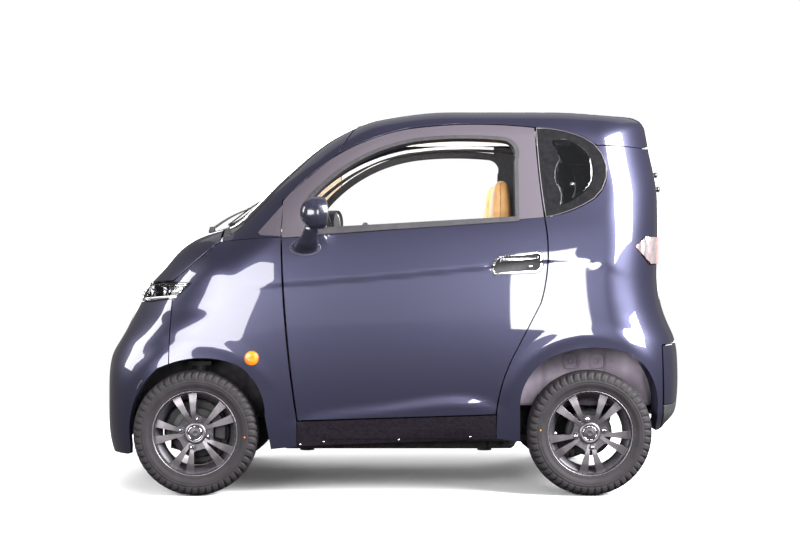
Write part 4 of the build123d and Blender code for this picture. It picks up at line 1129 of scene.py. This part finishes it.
for place, centre in WHEELS.items():
    x, y, z = centre
    row, end = place.split("_")
    side, body = (1 if y > 0 else -1), f"wheel_{place}"
    flat, faces = trimmed(polar(np.full(132, FACE_R), np.arange(132) * 360 / 132),
                          wheel_windows(SPOKES[place]), 0.008)
    points = set_out(flat, 0, centre, side)
    plate(mesh(f"wheel_casting_{place}", points, facing(points, faces, side)), 18 * MM, 1.6 * MM, body,
          ALLOY_DARK)
    parts = [(set_out(flat, 1.2 * MM, centre, side), faces)
             for flat, faces in spoke_faces(SPOKES[place])]
    plate(joined(f"wheel_spokes_{place}", [(p, facing(p, f, side)) for p, f in parts]), 3 * MM, 0.7 * MM,
          body, ALLOY)
    for name, material, n, closed, profile in (*TURNED, DISC_TURNED if row == "front" else DRUM_TURNED):
        settle_on(lathe(f"{name}_{place}", np.array(profile) * (1, side) * MM, n, np.array(centre) * MM,
                        "y", closed), body, "alloy", material)
    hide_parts(f"rim_{place}")

    def dotted(profile, n, places):
        """Small turned pieces at places about the axle, as parts in metres."""
        return [(points * MM, faces) for points, faces in (
            spun(np.array(profile) * (1, side), n, (x - at[0], y, z + at[1])) for at in places)]

    holes = polar(np.full(4, 57.15), SPOKES[place] - 28 + 90 * np.arange(4))
    nuts = joined(f"wheel_nuts_{place}", dotted(NUT, 6, holes), smooth=False)
    settle_on(weld(nuts), body, "alloy", CHROME)
    settle_on(weld(joined(f"nut_cups_{place}", dotted(CUP, 24, holes))), body, "alloy", ALLOY_DARK)
    mark = dotted([(0, 72.2), (2.6, 72.1), (3.0, 71.7)], 12, [polar(199, MARK_ANGLE[place])])
    settle_on(weld(joined(f"balance_mark_{place}", mark)), body, "tyre", AMBER)
    if row == "front":
        fan = np.linspace(258, 552, 60)
        edge = np.concatenate([polar(np.full(60, SHIELD_R), fan),
                               polar(np.full(60, SHIELD_HOLE_R), fan)[::-1]])
        p, f = trimmed(edge, space=0.012)
        p = np.column_stack([x * MM - p[:, 0], np.full(len(p), (y - side * 16) * MM), z * MM + p[:, 1]])
        settle_on(weld(mesh(f"dust_shield_{place}", *closed_wall(p, f, 2 * MM)), 0), f"knuckle_{end}",
                  "chassis_black", CHASSIS)
        bend = np.radians(np.linspace(-32, 32, 15)) + 0.3
        spoke = np.column_stack([-np.cos(bend), 0 * bend, np.sin(bend)])
        swept(f"brake_caliper_{place}", spoke * 98 * MM + np.array((x, y - side * 2, z)) * MM,
              rounded([(-0.024, -0.024), (0.018, -0.024), (0.018, 0.022), (-0.024, 0.022)], 0.006),
              f"knuckle_{end}", "chassis_black", CHASSIS, spoke)

# %% [markdown]
# ## Lamps and grille
# A headlamp is a dark housing under a clear lens, with bright parts inside. The housing's side wall
# is a ring of the skin with a deep wall, its back a patch moved inwards, and the lens lies over both.

# %% Headlamps
GRILLE_Y = 330 * MM


def round_at(y, z):
    """Where the wrapping view reaches a given y on the nose, at height z."""
    s = np.linspace(SPINE_FRONT, S_NOSE, 160)
    reached = from_round(np.column_stack([s, np.full(160, z)]))[:, 1]
    return np.interp(-y, -reached, s)


FOOT_S, HEAD_S = round_at(GRILLE_Y, 0.768), round_at(GRILLE_Y, 0.836)
HEADLAMP = round_loop(on_side((810, 845), [(871, 787), (893, 784), (984, 771)], 0.006),
                      np.array([(FOOT_S, 0.768)]), np.array([(HEAD_S, 0.836)]),
                      on_side((893, 848), [(810, 846)], 0.008))
p, f = patch(from_round, HEADLAMP, [inset(HEADLAMP, 5 * MM)], space=0.008)
pair("headlamp_rim", lifted(p, 0.5 * MM), f, "chassis", "lamp_glass", BORDER, "headlamps", 44 * MM, FINE)
p, f = patch(from_round, inset(HEADLAMP, 6 * MM), space=0.010)
pair("headlamp_back", lifted(p, -38 * MM), f, "chassis", "lamp_glass", GLOSS, "", 5 * MM, FINE)
pair("headlamp_lens", lifted(p, 2 * MM), f, "chassis", "lamp_glass", LENS, "", 2.5 * MM, 0.8 * MM)
p, f = patch(from_side, rounded(np.array([(917, 834), (917, 812), (859, 816), (853, 834)]) * MM, 4 * MM),
             space=0.008)
ribbed = lifted(p, -8 * MM + 1.2 * MM * np.cos(p[:, :1] * 2 * np.pi / 0.009))
pair("headlamp_flasher", ribbed, f, "chassis", "lamp_glass", CHROME, "", 8 * MM, FINE)


def bar_section(wide, tall, narrow=None, rounding=0.001):
    """The section of a slim bar, half its sizes given, which may be narrower at the far side."""
    narrow = wide if narrow is None else narrow
    return rounded([(-wide, -tall), (wide, -tall), (narrow, tall), (-narrow, tall)], rounding, 3)


for name, start, end_z, depth, material in (("headlamp_light_bar", (0.878, 0.797), 0.782, 0.010, WHITE),
                                            ("headlamp_brow", (0.84, 0.842), 0.838, 0.014, CHROME)):
    path = lifted(from_round(straight(round_spot(*start), (FOOT_S - 0.012, end_z))), -depth)
    points, faces = sweep(path, bar_section(0.003, 0.004), slope_of_skin(path))
    twin = points * (1, -1, 1), [face[::-1] for face in faces]
    settle_on(weld(joined(name, [(points, faces), twin]), 0), "chassis", "lamp_glass", material)
PROJECTOR = (  # name, finish, closed or not, profile: radius at the first lamp and how far it stands out
    ("ring", CHROME, True, [(25, -4), (25.5, 3), (28, 5), (30.5, 2), (31, -12), (26, -12)]),
    ("lens", LENS, False, [(0, 6), (8, 5.4), (16, 3.2), (22, 0), (24.6, -3), (24, -6), (0, -6)]),
    ("bowl", ALLOY, False, [(0, -8), (16, -8), (24, -7), (25.4, -14), (0, -16)]))
for k, y in enumerate((0.385, 0.480, 0.565)):
    at, far = from_round(np.array([(round_at(y + more, 0.808), 0.808) for more in (0, 0.028)]))
    for name, material, closed, profile in PROJECTOR:
        knobs(f"projector_{name}_{k}", np.array(profile) * (0.86 - 0.10 * k, 1), 40,
              (far[0] - 7 * MM, at[1], at[2]), "chassis", "lamp_glass", material, "x", closed)

# %% The grille band between the lamps
whole("grille_panel", from_round, round_loop(
    np.array([(FOOT_S + 0.004, 0.770), (S_NOSE, 0.768)]),
    np.array([(S_NOSE, 0.829), (HEAD_S + 0.004, 0.834)])), "gloss_black", GLOSS, ["grille"], 0.012,
    20 * MM, -3.5 * MM)
for k, z in enumerate((0.780, 0.793, 0.806, 0.819)):
    half = lifted(from_round(straight((FOOT_S + 0.012, z), (S_NOSE, z))), -6.5 * MM)
    swept(f"grille_bar_{k}", mirrored_line(half), bar_section(0.0035, 0.006, 0.0022, 0.0012), "chassis",
          "gloss_black", CHROME if k in (0, 3) else PLASTIC)

# %% [markdown]
# ## Turn signals and tail lamps
# The side signal is a low dome with fine ribs. Its points lie on circles, and the ribs are a cosine
# of the height. The tail lamp's lens is folded into tall facets, so it is left unsmoothed.

# %% Side turn signals
SIGNAL_R, SIGNAL_N, SIGNAL_ROWS = 28.5 * MM, 64, 22
base = from_side(np.array([(559, 551)]) * MM)[0]
r = np.append(np.linspace(0, 1, SIGNAL_ROWS), 1) * SIGNAL_R     # the last row is the foot of the wall
points, grid = spun(np.column_stack([r, 8 * MM - 6.5 * MM * (r / SIGNAL_R) ** 3]), SIGNAL_N, base)
points = points.reshape(SIGNAL_N, -1, 3)
points[..., 1] += 0.35 * MM * np.cos(points[..., 2] * 2 * np.pi / 0.0055) * (r < 0.94 * SIGNAL_R)
points[:, -1, 1] = base[1] - 3 * MM
foot = (np.arange(SIGNAL_N) * len(r) + SIGNAL_ROWS).tolist()
for end, side in SIDES:
    lens = mesh(f"signal_lens_{end}", points.reshape(-1, 3) * (1, side, 1), [*grid.tolist(), foot])
    settle_on(weld(lens), "chassis", "amber_lamp", AMBER, ["indicators"])
knobs("signal_rim", [(28.6, -3), (28.6, 3.2), (29.4, 4.2), (30.6, 4), (31, 2), (31, -3)], 64, base,
      "chassis", "black_plastic", PLASTIC, closed=True)

# %% Tail lamps
p, f = patch(from_round, inset(TAIL_LAMP, 1.5 * MM), space=0.006)
s = to_round(p)[:, 0]
fold = np.abs((s / 0.034) % 1 - 0.5) * 2
pair("tail_lamp_back", lifted(p, -20 * MM), f, "chassis", "red_lamp", CHROME, "", 6 * MM, FINE)
reach = np.clip((np.abs(p[:, 0]) - 0.97) / 0.05, 0, 1)
folded = lifted(p, (1 + (3 + 8 * fold[:, None]) * reach[:, None]) * MM)
stripe = np.array([0, 0, 2, 0, 0])[np.floor(to_round(p[f].mean(1))[:, 0] / 0.017).astype(int) % 5]
for end, side in SIDES:
    lens = panel(f"tail_lamp_lens_{end}", *on_end(folded, f, side), 4 * MM, 0)
    settle_on(lens, "chassis", "red_lamp", [PINK, RED, CLEAR_RED], ["tail_lamps"])
    which = np.zeros(len(lens.data.polygons), int)
    which[:2 * len(f)] = np.tile(stripe, 2)
    lens.data.polygons.foreach_set("material_index", which)
    lens.data.shade_flat()

# %% [markdown]
# ## Handles, mirrors, wiper and small trim
# Each is modelled at its real size from a section and a path. They catch small hard highlights, and
# those tell the eye how big the car is.

# %% Door handles
for name, out, cut, space, material, stands_for, wall, bevel, lift in (
        ("surround", -3, 6, 0.005, NAVY, "", 8, 2, 2),
        ("rim", 3.5, 8, 0.004, CHROME, "handle_left", 12, 1.4, 4.5),
        ("dish", 5, 0, 0.005, PLASTIC, "", 5, 1, -22)):
    side_piece(f"handle_{name}", inset(HANDLE, out * MM), [inset(HANDLE, cut * MM)] if cut else [],
               space, "door_left", "bright_trim", material, stands_for, wall * MM, bevel * MM, lift * MM)
GRIP = outline((-428, 950), [((-500, 962), (-570, 962)), (-578, 944), ((-500, 935), (-420, 926)),
                             (-428, 950)], 0.004)
p, f = patch(from_side, inset(GRIP, 1 * MM), [], 0.004)
crown = 1 - ((p[:, 2] - 0.944) / 0.02) ** 2
pair("handle_grip", lifted(p, (0.5 + 6.0 * np.clip(crown, 0, 1)[:, None]) * MM), f, "door_left",
     "bright_trim", CHROME, "", 12 * MM, 1.5 * MM)
knobs("door_lock",
      [(0, -3), (1.2, -3), (1.4, -4), (5.5, -3.6), (6.6, -4.2), (7, -6), (7, -24), (0, -24)],
      32, from_side(np.array([(-0.545, 0.913)]))[0], "door_left", "bright_trim", CHROME)

# %% Wiper
PIVOT, TIP = np.array([784, 96, 1074]) * MM, np.array([616, 104, 1164]) * MM
t = np.linspace(0, 1, 24)[:, None]
arm = PIVOT * (1 - t) + TIP * t + np.array([0, 0, 9 * MM]) * np.sin(np.pi * t)
size = 1 - 0.55 * t[:, :, None]
points, faces = sweep(arm, bar_section(0.008, 0.005, 0.006, 0.002), UP)
points = (arm[:, None] + (points.reshape(24, -1, 3) - arm[:, None]) * size).reshape(-1, 3)
settle_on(weld(mesh("wiper_arm", points, faces), 0), "chassis", "black_plastic", PLASTIC, ["wiper"])
pivot = np.array([(0, 17), (9, 16), (12, 12), (13, 4), (15, 0), (15, -10), (0, -10)]) * MM
settle_on(lathe("wiper_pivot", pivot, 28, PIVOT * (1, 1, 0) + (0, 0, 1.068), "z"), "chassis",
          "black_plastic", PLASTIC)
sweeps = from_top(np.column_stack([np.linspace(0.694, 0.560, 40), np.linspace(0.235, -0.05, 40)]))
bow = lifted(sweeps, (11 + 9 * np.sin(np.linspace(0, np.pi, 40))[:, None]) * MM)
link = smooth_path([TIP, (TIP + bow[20]) / 2 + (0, 0, 4 * MM), bow[20]], 12)
swept("wiper_blade", lifted(sweeps, 4 * MM), rounded([
    (-0.002, -0.004), (0.002, -0.004), (0.0035, 0.006), (-0.0035, 0.006)], 0.001, 3), "chassis",
    "black_plastic", RUBBER)
swept("wiper_bow", bow, ring_profile(3.2 * MM, 10), "chassis", "black_plastic", PLASTIC)
swept("wiper_link", link, ring_profile(4 * MM, 10), "chassis", "black_plastic", PLASTIC, UP)

# %% Mirrors
HEAD, HEAD_TURN = np.array([303, 797, 1122]) * MM, np.radians(20)
t = np.linspace(0, np.pi / 2, 18)
BALL = [*zip(64 * np.sin(t), 60 * np.cos(t)), (64, -12), (63, -28), (61.8, -31), (60.5, -32),
        (59.5, -30), (59, -24), (0, -24)]
HEAD_PIECES = (  # name, finish, closed or not, profile: radius and how far forwards
    ("head", NAVY, False, BALL),
    ("rim", PLASTIC, True, [(57, -24), (57.5, -31), (60, -34.5), (62, -33), (62.4, -29), (60, -24)]),
    ("glass", MIRROR, False, [(0, -28), (30, -28.6), (57.2, -30), (57.2, -24), (0, -24)]))
FOOT_ROWS, FOOT_N = 20, 36
t = np.linspace(0, 1, FOOT_ROWS)[:, None]
foot = (np.array([[349, 671, 990]]) * (1 - t) + np.array([[318, 792, 1072]]) * t
        + [0, 0, -14] * np.sin(np.pi * t))
wide, deep = 25 + 32 * (1 - t) ** 1.15, 18 + 11 * (1 - t) ** 1.2
a = np.arange(FOOT_N) * 2 * np.pi / FOOT_N
rings = foot[:, None] + np.stack([wide * np.cos(a), 0.35 * deep * np.sin(a), -deep * np.sin(a)], -1)
ends = [list(range(FOOT_N)), list(range((FOOT_ROWS - 1) * FOOT_N, FOOT_ROWS * FOOT_N))[::-1]]
t = np.arange(60) * np.pi / 30
foot_edge = from_side(np.column_stack([0.349 + 0.060 * np.cos(t), 0.988 + 0.031 * np.sin(t)]))
for end, side in SIDES:
    for name, material, closed, profile in HEAD_PIECES:   # the head is turned towards the driver
        thing = lathe(f"mirror_{name}_{end}", np.array(profile, float) * MM, 72, np.zeros(3), "x",
                      closed)
        thing.data.transform(Matrix.Translation(HEAD * (1, side, 1))
                             @ Matrix.Rotation(HEAD_TURN * side, 4, "Z"))
        settle_on(thing, f"door_{end}", "gloss_black", material,
                  [f"mirror_{end}"] if name == "head" else ())
    thing = mesh(f"mirror_foot_{end}", rings.reshape(-1, 3) * MM * (1, side, 1),
                 [*grid_faces(FOOT_ROWS, FOOT_N, close_n=True).tolist(), *ends])
    settle_on(weld(thing, 0), f"door_{end}", "gloss_black", NAVY)
    edge = foot_edge * (1, side, 1)
    swept(f"mirror_foot_rim_{end}", lifted(edge, 1 * MM), ring_profile(2.4 * MM, 8), f"door_{end}",
          "gloss_black", SATIN, slope_of_skin(edge), True)

# %% Quarter glass bead and its catch
bead = lifted(from_side(inset(SIDE_GLASS, -2.0 * MM)), 0.6 * MM)[::4]
for end, side in SIDES:
    swept(f"quarter_glass_bead_{end}", bead * (1, side, 1), ring_profile(2.2 * MM, 8), "chassis",
          "satin_trim", SATIN, closed=True)
for name, material, profile in (
        ("glass_catch", PLASTIC, [(0, 1), (8, 1), (10.5, 0), (10.5, -6), (0, -6)]),
        ("glass_catch_stud", CHROME, [(0, 4.2), (2.4, 3.6), (3.8, 2), (4, 0.5), (0, 0.5)])):
    knobs(name, profile, 28, from_side(np.array([(-0.717, 1.241)]))[0], "chassis", "tinted_glass",
          material)

# %% Sill step, small studs, aprons of the wheel arches
# The step takes the sill's darkened finish, a painted shade under the sill
side_piece("sill_step", outline((-311, 246), [
    ((-300, 262), (-264, 274)), (238, 262), ((262, 256), (274, 238)), (262, 228), (-300, 232),
    (-311, 246)], 0.008), [], 0.010, "chassis", "black_plastic", SHADED_SILL_FINISH, "", 12 * MM, 3 * MM,
    2.5 * MM)


def studs(name, places, profile, n, axis, body, slot, material):
    """Turned studs in one piece, the profile's height in millimetres along an axis from each place."""
    parts = [spun(np.array(profile) * (1, way) * MM, n, at, axis) for at, way in places]
    settle_on(weld(joined(name, parts)), body, slot, material)


CLIP = [(0, 4), (2.6, 3.6), (4.4, 2), (5, 0), (5, -4), (0, -4)]
spots = from_side(np.array([(370, 205), (276, 216), (-22, 224), (-306, 236)]) * MM)
studs("sill_clips", [(at * (1, side, 1), side) for at in spots for _, side in SIDES], CLIP, 16, "y",
      "chassis", "black_plastic", CHROME)
KNOB = [(0, 11), (7, 10.5), (10, 8), (11, 4), (11, -4), (0, -4)]
spots = from_behind(np.array([(y, z) for y in (300, -300) for z in (1296, 1236)]) * MM)
studs("tailgate_knobs", [(at, -1) for at in spots], KNOB, 20, "x", "tailgate", "black_plastic", GLOSS)
for name, x0, x1, z0, z1, inward, material in (
        ("arch_aprons_front", 480, 1060, 290, 640, 392, LINER),
        ("arch_aprons_rear", -1066, -490, 350, 606, 532, PALE_LINER)):
    u, v = np.meshgrid(np.linspace(x0, x1, 60), np.linspace(z0, z1, 16), indexing="ij")
    sheet = np.stack([u, inward + 7 * smooth_step(np.cos(u / 26) * 3 + 0.5), v], -1).reshape(-1, 3) * MM
    parts = []
    for _, side in SIDES:
        points, faces = on_end(sheet, grid_faces(60, 16)[:, ::-1], side)
        parts.append(walled(points, points - (0, side * 6 * MM, 0), faces))
    settle_on(weld(joined(name, parts), 0), "chassis", "chassis_black", material)
plugs = []
for x in (-719, -822):
    for _, side in SIDES:
        at = np.array((x, side * 544, 530)) * MM
        plugs.append(spun(np.array([(0, 4), (9, 4), (11, 2), (11, -12), (0, -12)])
                          * (1, side) * MM, 28, at))
        points, faces = spun(np.array([(24, -12), (24, 1), (26, 3), (29, 3), (31, 1), (31, -12)])
                             * (1, side) * MM, 28, closed=True)
        corner = 1 + 0.16 * np.sin(2 * np.arange(28) * np.pi / 14) ** 2
        plugs.append((points * np.repeat(corner, 6)[:, None] ** (1, 0, 1) + at, faces))
settle_on(weld(joined("apron_plugs", plugs)), "chassis", "chassis_black", PALE_LINER)

# %% [markdown]
# ## Inside
# The linings follow the body a few centimetres inside the skin. A seat is foam under leather: the
# block is made a little small, remeshed evenly and blown up by the cloth solver, which pulls its faces
# into soft crowns and leaves its edges tight. The piping is laid on afterwards.

# %% Linings
LINING = outline((432, 1070), [
    (433, 1168), ((219, 1353), (-61, 1456)), ((-300, 1475), (-566, 1462)), ((-576, 1300), (-592, 1125)),
    (432, 1070)])
opening = inset(WINDOW, -9 * MM)
for name, a, b, material in (("pillar_lining", 0.232, 0.6, CREAM), ("rail_lining", -0.484, 0.228, WHITE),
                             ("door_post_lining", -0.8, -0.488, PLASTIC)):
    fences = [np.array([(a - 9, 0), (a, 0), (a + 0.04, 3), (a - 9, 3)]),   # what is kept lies between
              np.array([(b, 0), (9, 0), (9, 3), (b + 0.04, 3)])]
    side_piece(name, LINING, [opening, *fences], 0.012, "chassis", "black_plastic", material, "",
               6 * MM, FINE, inward=WALL + 22 * MM)
ceiling = rounded([(0.10, -0.34), (0.10, 0.34), (-0.92, 0.36), (-0.92, -0.36)], 0.06, 8)
single("headliner", from_barrel, ceiling, [], 0.022, "chassis", "black_plastic", WHITE, (), 7 * MM, FINE,
       -37 * MM)

# %% Seats
SEAT_Y, SEAT_RISE, VOXEL, PRESSURE, LAST_FRAME = 262 * MM, 14 * MM, 13 * MM, 4, 20


def soft_block(rows, side):
    """A closed block from rows of (height or distance, front, back, half width, chamfer): each row is a
    six-cornered outline, and the rows follow each other along the seat."""
    rings = []
    for at, front, back, half, chamfer in rows:
        corners = [(front, -half + chamfer), (front, half - chamfer), (front - chamfer, half),
                   (back, half), (back, -half), (front - chamfer, -half)]
        ring = rounded(corners, 0.35 * chamfer + 0.012, 6)
        rings.append(np.column_stack([ring[:, 0], ring[:, 1] + side * SEAT_Y, np.full(len(ring), at)]))
    m, n = len(rings), len(rings[0])
    ends = [list(range(n)), list(range((m - 1) * n, m * n))[::-1]]
    return np.concatenate(rings), [*grid_faces(m, n, close_n=True).tolist(), *ends]


def stuffed(thing):
    """Foam under leather. The cloth solver blows the even mesh up with gravity off, and its movement is
    scaled so that no point goes further than the rise."""
    grid = add(thing, "REMESH", mode="VOXEL", voxel_size=VOXEL)
    scene_now = bpy.context.evaluated_depsgraph_get()
    even_mesh = bpy.data.meshes.new_from_object(thing.evaluated_get(scene_now))
    thing.modifiers.remove(grid)
    thing.data = even_mesh
    rest = np.array([v.co for v in even_mesh.vertices])
    cloth = add(thing, "CLOTH")
    cloth.settings.use_pressure, cloth.settings.uniform_pressure_force = True, PRESSURE
    cloth.settings.effector_weights.gravity = 0
    for step in range(1, LAST_FRAME + 1):
        bpy.context.scene.frame_set(step)
    blown = thing.evaluated_get(bpy.context.evaluated_depsgraph_get()).data
    move = np.array([v.co for v in blown.vertices]) - rest
    far = np.linalg.norm(move, axis=1).max()
    thing.modifiers.remove(cloth)
    bpy.context.scene.frame_set(1)
    even_mesh.vertices.foreach_set("co", (rest + move * min(1, SEAT_RISE / max(far, 1e-6))).ravel())
    add(thing, "SMOOTH", factor=0.5, iterations=3)
    add(thing, "SUBSURF", levels=1, render_levels=1)
    print(thing.name, "swelled", round(far * 1000, 1), "mm before it was scaled")


def piping(name, thing, path):
    """A thin welt laid on the nearest surface of a seat."""
    near = [thing.closest_point_on_mesh(Vector(p)) for p in path]
    at = np.array([place + normal * MM for _, place, normal, _ in near])
    swept(name, smooth_path(at, 90), ring_profile(2.6 * MM, 8), "chassis", "seat_leather",
          LEATHER_DARK, UP)


BACK_ROWS = np.array([  # height, front, back, half width, chamfer
    (506, -366, -452, 170, 12), (512, -352, -462, 188, 26), (560, -348, -470, 196, 34),
    (700, -352, -474, 200, 36), (860, -370, -478, 200, 34), (1000, -392, -482, 190, 28),
    (1090, -410, -484, 172, 24), (1180, -418, -484, 150, 20), (1240, -421, -480, 138, 18),
    (1264, -427, -474, 124, 14), (1275, -438, -464, 104, 8)]) * MM
CUSHION_ROWS = np.array([  # distance forwards, top, bottom, half width, chamfer
    (-372, 488, 410, 180, 14), (-364, 496, 404, 192, 24), (-200, 494, 404, 198, 30),
    (0, 500, 404, 198, 30),
    (80, 500, 406, 196, 28), (98, 492, 414, 188, 22), (106, 480, 424, 176, 12)]) * MM


def fine_rows(rows, n):
    """n rows, the ones between read off straight lines."""
    at = np.linspace(0, len(rows) - 1, n)
    return np.column_stack([np.interp(at, np.arange(len(rows)), column) for column in rows.T])


for end, side in SIDES:
    for name, table, n, axes, fill in (("seat_back", BACK_ROWS, 41, [0, 1, 2], 0.85),
                                       ("seat_cushion", CUSHION_ROWS, 31, [2, 1, 0], 0.75)):
        rows = fine_rows(table, n)
        points, faces = soft_block(rows, side)
        block = weld(mesh(f"{name}_{end}", points[:, axes], faces), 0)
        stuffed(block)
        settle_on(block, "chassis", "seat_leather", LEATHER, [f"{name}s"])
        _, front, _, half, chamfer = rows[2:-3].T
        for k, out in enumerate((1, -1)):
            path = np.column_stack([front - chamfer, side * SEAT_Y + out * (half + 0.01), rows[2:-3, 0]])
            piping(f"{name}_welt_{end}_{k}", block, path[:, axes])

# %% [markdown]
# ## Finishes for the pieces that stay as they are
# Where the CAD shape is already right, as on the chassis tubes, only the finish is changed: each
# piece's own material slot gets one of the finishes above.

# %% Finishes on the carried-over pieces
KEPT = {CHASSIS: "chassis_rails cross_members front_suspension rear_suspension rear_axle knuckle_left "
                 "knuckle_right floor_pan",
        LINER: "arch_liners", BATTERY: "battery_box",
        PLASTIC: "dashboard steering_column steering_wheel"}
for material, names in KEPT.items():
    for name in names.split():
        for i in range(len(node[name].data.materials)):
            node[name].data.materials[i] = material
print("finishes given to", sum(len(names.split()) for names in KEPT.values()), "CAD pieces")

# %% [markdown]
# ## Studio
# Two wide soft panels stand left and right of the viewer, and tall ones at the corners. They give the
# large white reflections that show how a wing turns, while the dark gap between them keeps the door
# deep. The light from overhead shapes the car but isn't mirrored in it. The pale floor fades out.

# %% Floor
FLOOR_FULL, FLOOR_END = 1.9, 4.2            # where the floor starts to fade and where it ends, metres
floor = mesh("studio_floor", [(-6, -6, 0), (6, -6, 0), (6, 6, 0), (-6, 6, 0)], [(0, 1, 2, 3)])
pale = finish("pale_floor", (0.93, 0.93, 0.935), (0.95, 0.95, 0.955), (0.8, 0.9), 2)
tree = pale.node_tree
place, far = tree.nodes.new("ShaderNodeTexCoord"), tree.nodes.new("ShaderNodeVectorMath")
far.operation = "LENGTH"
fade, clear = tree.nodes.new("ShaderNodeMapRange"), tree.nodes.new("ShaderNodeBsdfTransparent")
fade.interpolation_type = "SMOOTHSTEP"
fade.inputs["From Min"].default_value, fade.inputs["From Max"].default_value = FLOOR_FULL, FLOOR_END
both = tree.nodes.new("ShaderNodeMixShader")
tree.links.new(place.outputs["Object"], far.inputs[0])
tree.links.new(far.outputs["Value"], fade.inputs["Value"])
tree.links.new(fade.outputs["Result"], both.inputs["Fac"])
tree.links.new(tree.nodes["Principled BSDF"].outputs["BSDF"], both.inputs[1])
tree.links.new(clear.outputs["BSDF"], both.inputs[2])
tree.links.new(both.outputs["Shader"], tree.nodes["Material Output"].inputs["Surface"])
floor.data.materials.append(pale)
floor.visible_glossy = floor.visible_diffuse = False


# %% Lights and camera
SOFTBOXES = (  # name, place, aim, width and height, power, mirrored in the car or not
    ("overhead", (0, 0.4, 4.2), (0, 0, 0.6), (5.0, 3.4), 170, False),
    ("rear_panel", (-0.95, 4.6, 1.42), (-0.95, 0, 1.42), (0.62, 1.85), 85, True),
    ("front_panel", (2.22, 3.5, 1.33), (-0.3, 1.05, 1.33), (3.07, 1.65), 240, True),
    ("front_strip", (5.0, -0.3, 2.3), (1.1, 0.45, 0.6), (1.0, 2.0), 75, True),
    ("rear_strip", (-4.4, 3.05, 3.6), (-0.95, 0.55, 1.25), (3.1, 4.0), 2000, True),
    ("roof_glow", (0, -2.6, 4.6), (0, 0, 1.5), (6.5, 3.0), 25, True),
    ("fill", (0, 7.6, 1.5), (0, 0, 1.0), (3.2, 1.8), 7, True),
    ("far_side", (0, -4.3, 1.5), (0, 0, 0.9), (4.6, 1.5), 70, True),
    ("back_left", (-2.5, -4.5, 2.8), (-0.4, 0, 0.8), (2.5, 2), 110, False),
    ("back_right", (3.0, -4.0, 2.8), (0.6, 0, 0.7), (2.5, 2), 110, False),
    ("cabin", (-0.15, 0.20, 1.30), (-0.15, -0.5, 1.46), (0.7, 0.12), 7, False))
for name, place, aim, size, power, mirrored in SOFTBOXES:
    light = bpy.data.lights.new(name, "AREA")
    light.shape, (light.size, light.size_y), light.energy = "RECTANGLE", size, power
    thing = bpy.data.objects.new(name, light)
    bpy.context.scene.collection.objects.link(thing)
    thing.location = place
    thing.rotation_euler = (Vector(aim) - Vector(place)).to_track_quat("-Z", "Y").to_euler()
    thing.visible_camera, thing.visible_glossy = False, mirrored
world = bpy.data.worlds.new("studio")
bpy.context.scene.world = world
world.use_nodes = True
tree = world.node_tree
path, mix = tree.nodes.new("ShaderNodeLightPath"), tree.nodes.new("ShaderNodeMix")
mix.data_type = "RGBA"
mix.inputs["A"].default_value = (0.15, 0.14, 0.14, 1)
mix.inputs["B"].default_value = (1, 1, 1, 1)
tree.links.new(path.outputs["Is Camera Ray"], mix.inputs["Factor"])
tree.links.new(mix.outputs["Result"], tree.nodes["Background"].inputs["Color"])
bpy.context.scene.view_settings.view_transform = "Standard"
camera = bpy.data.objects.new("camera", bpy.data.cameras.new("camera"))
bpy.context.scene.collection.objects.link(camera)
camera.location = (-0.0275, 7.3, 0.913)
camera.rotation_euler = (np.pi / 2, 0, np.pi)
camera.data.lens, camera.data.sensor_width = 75, 36
bpy.context.scene.camera = camera
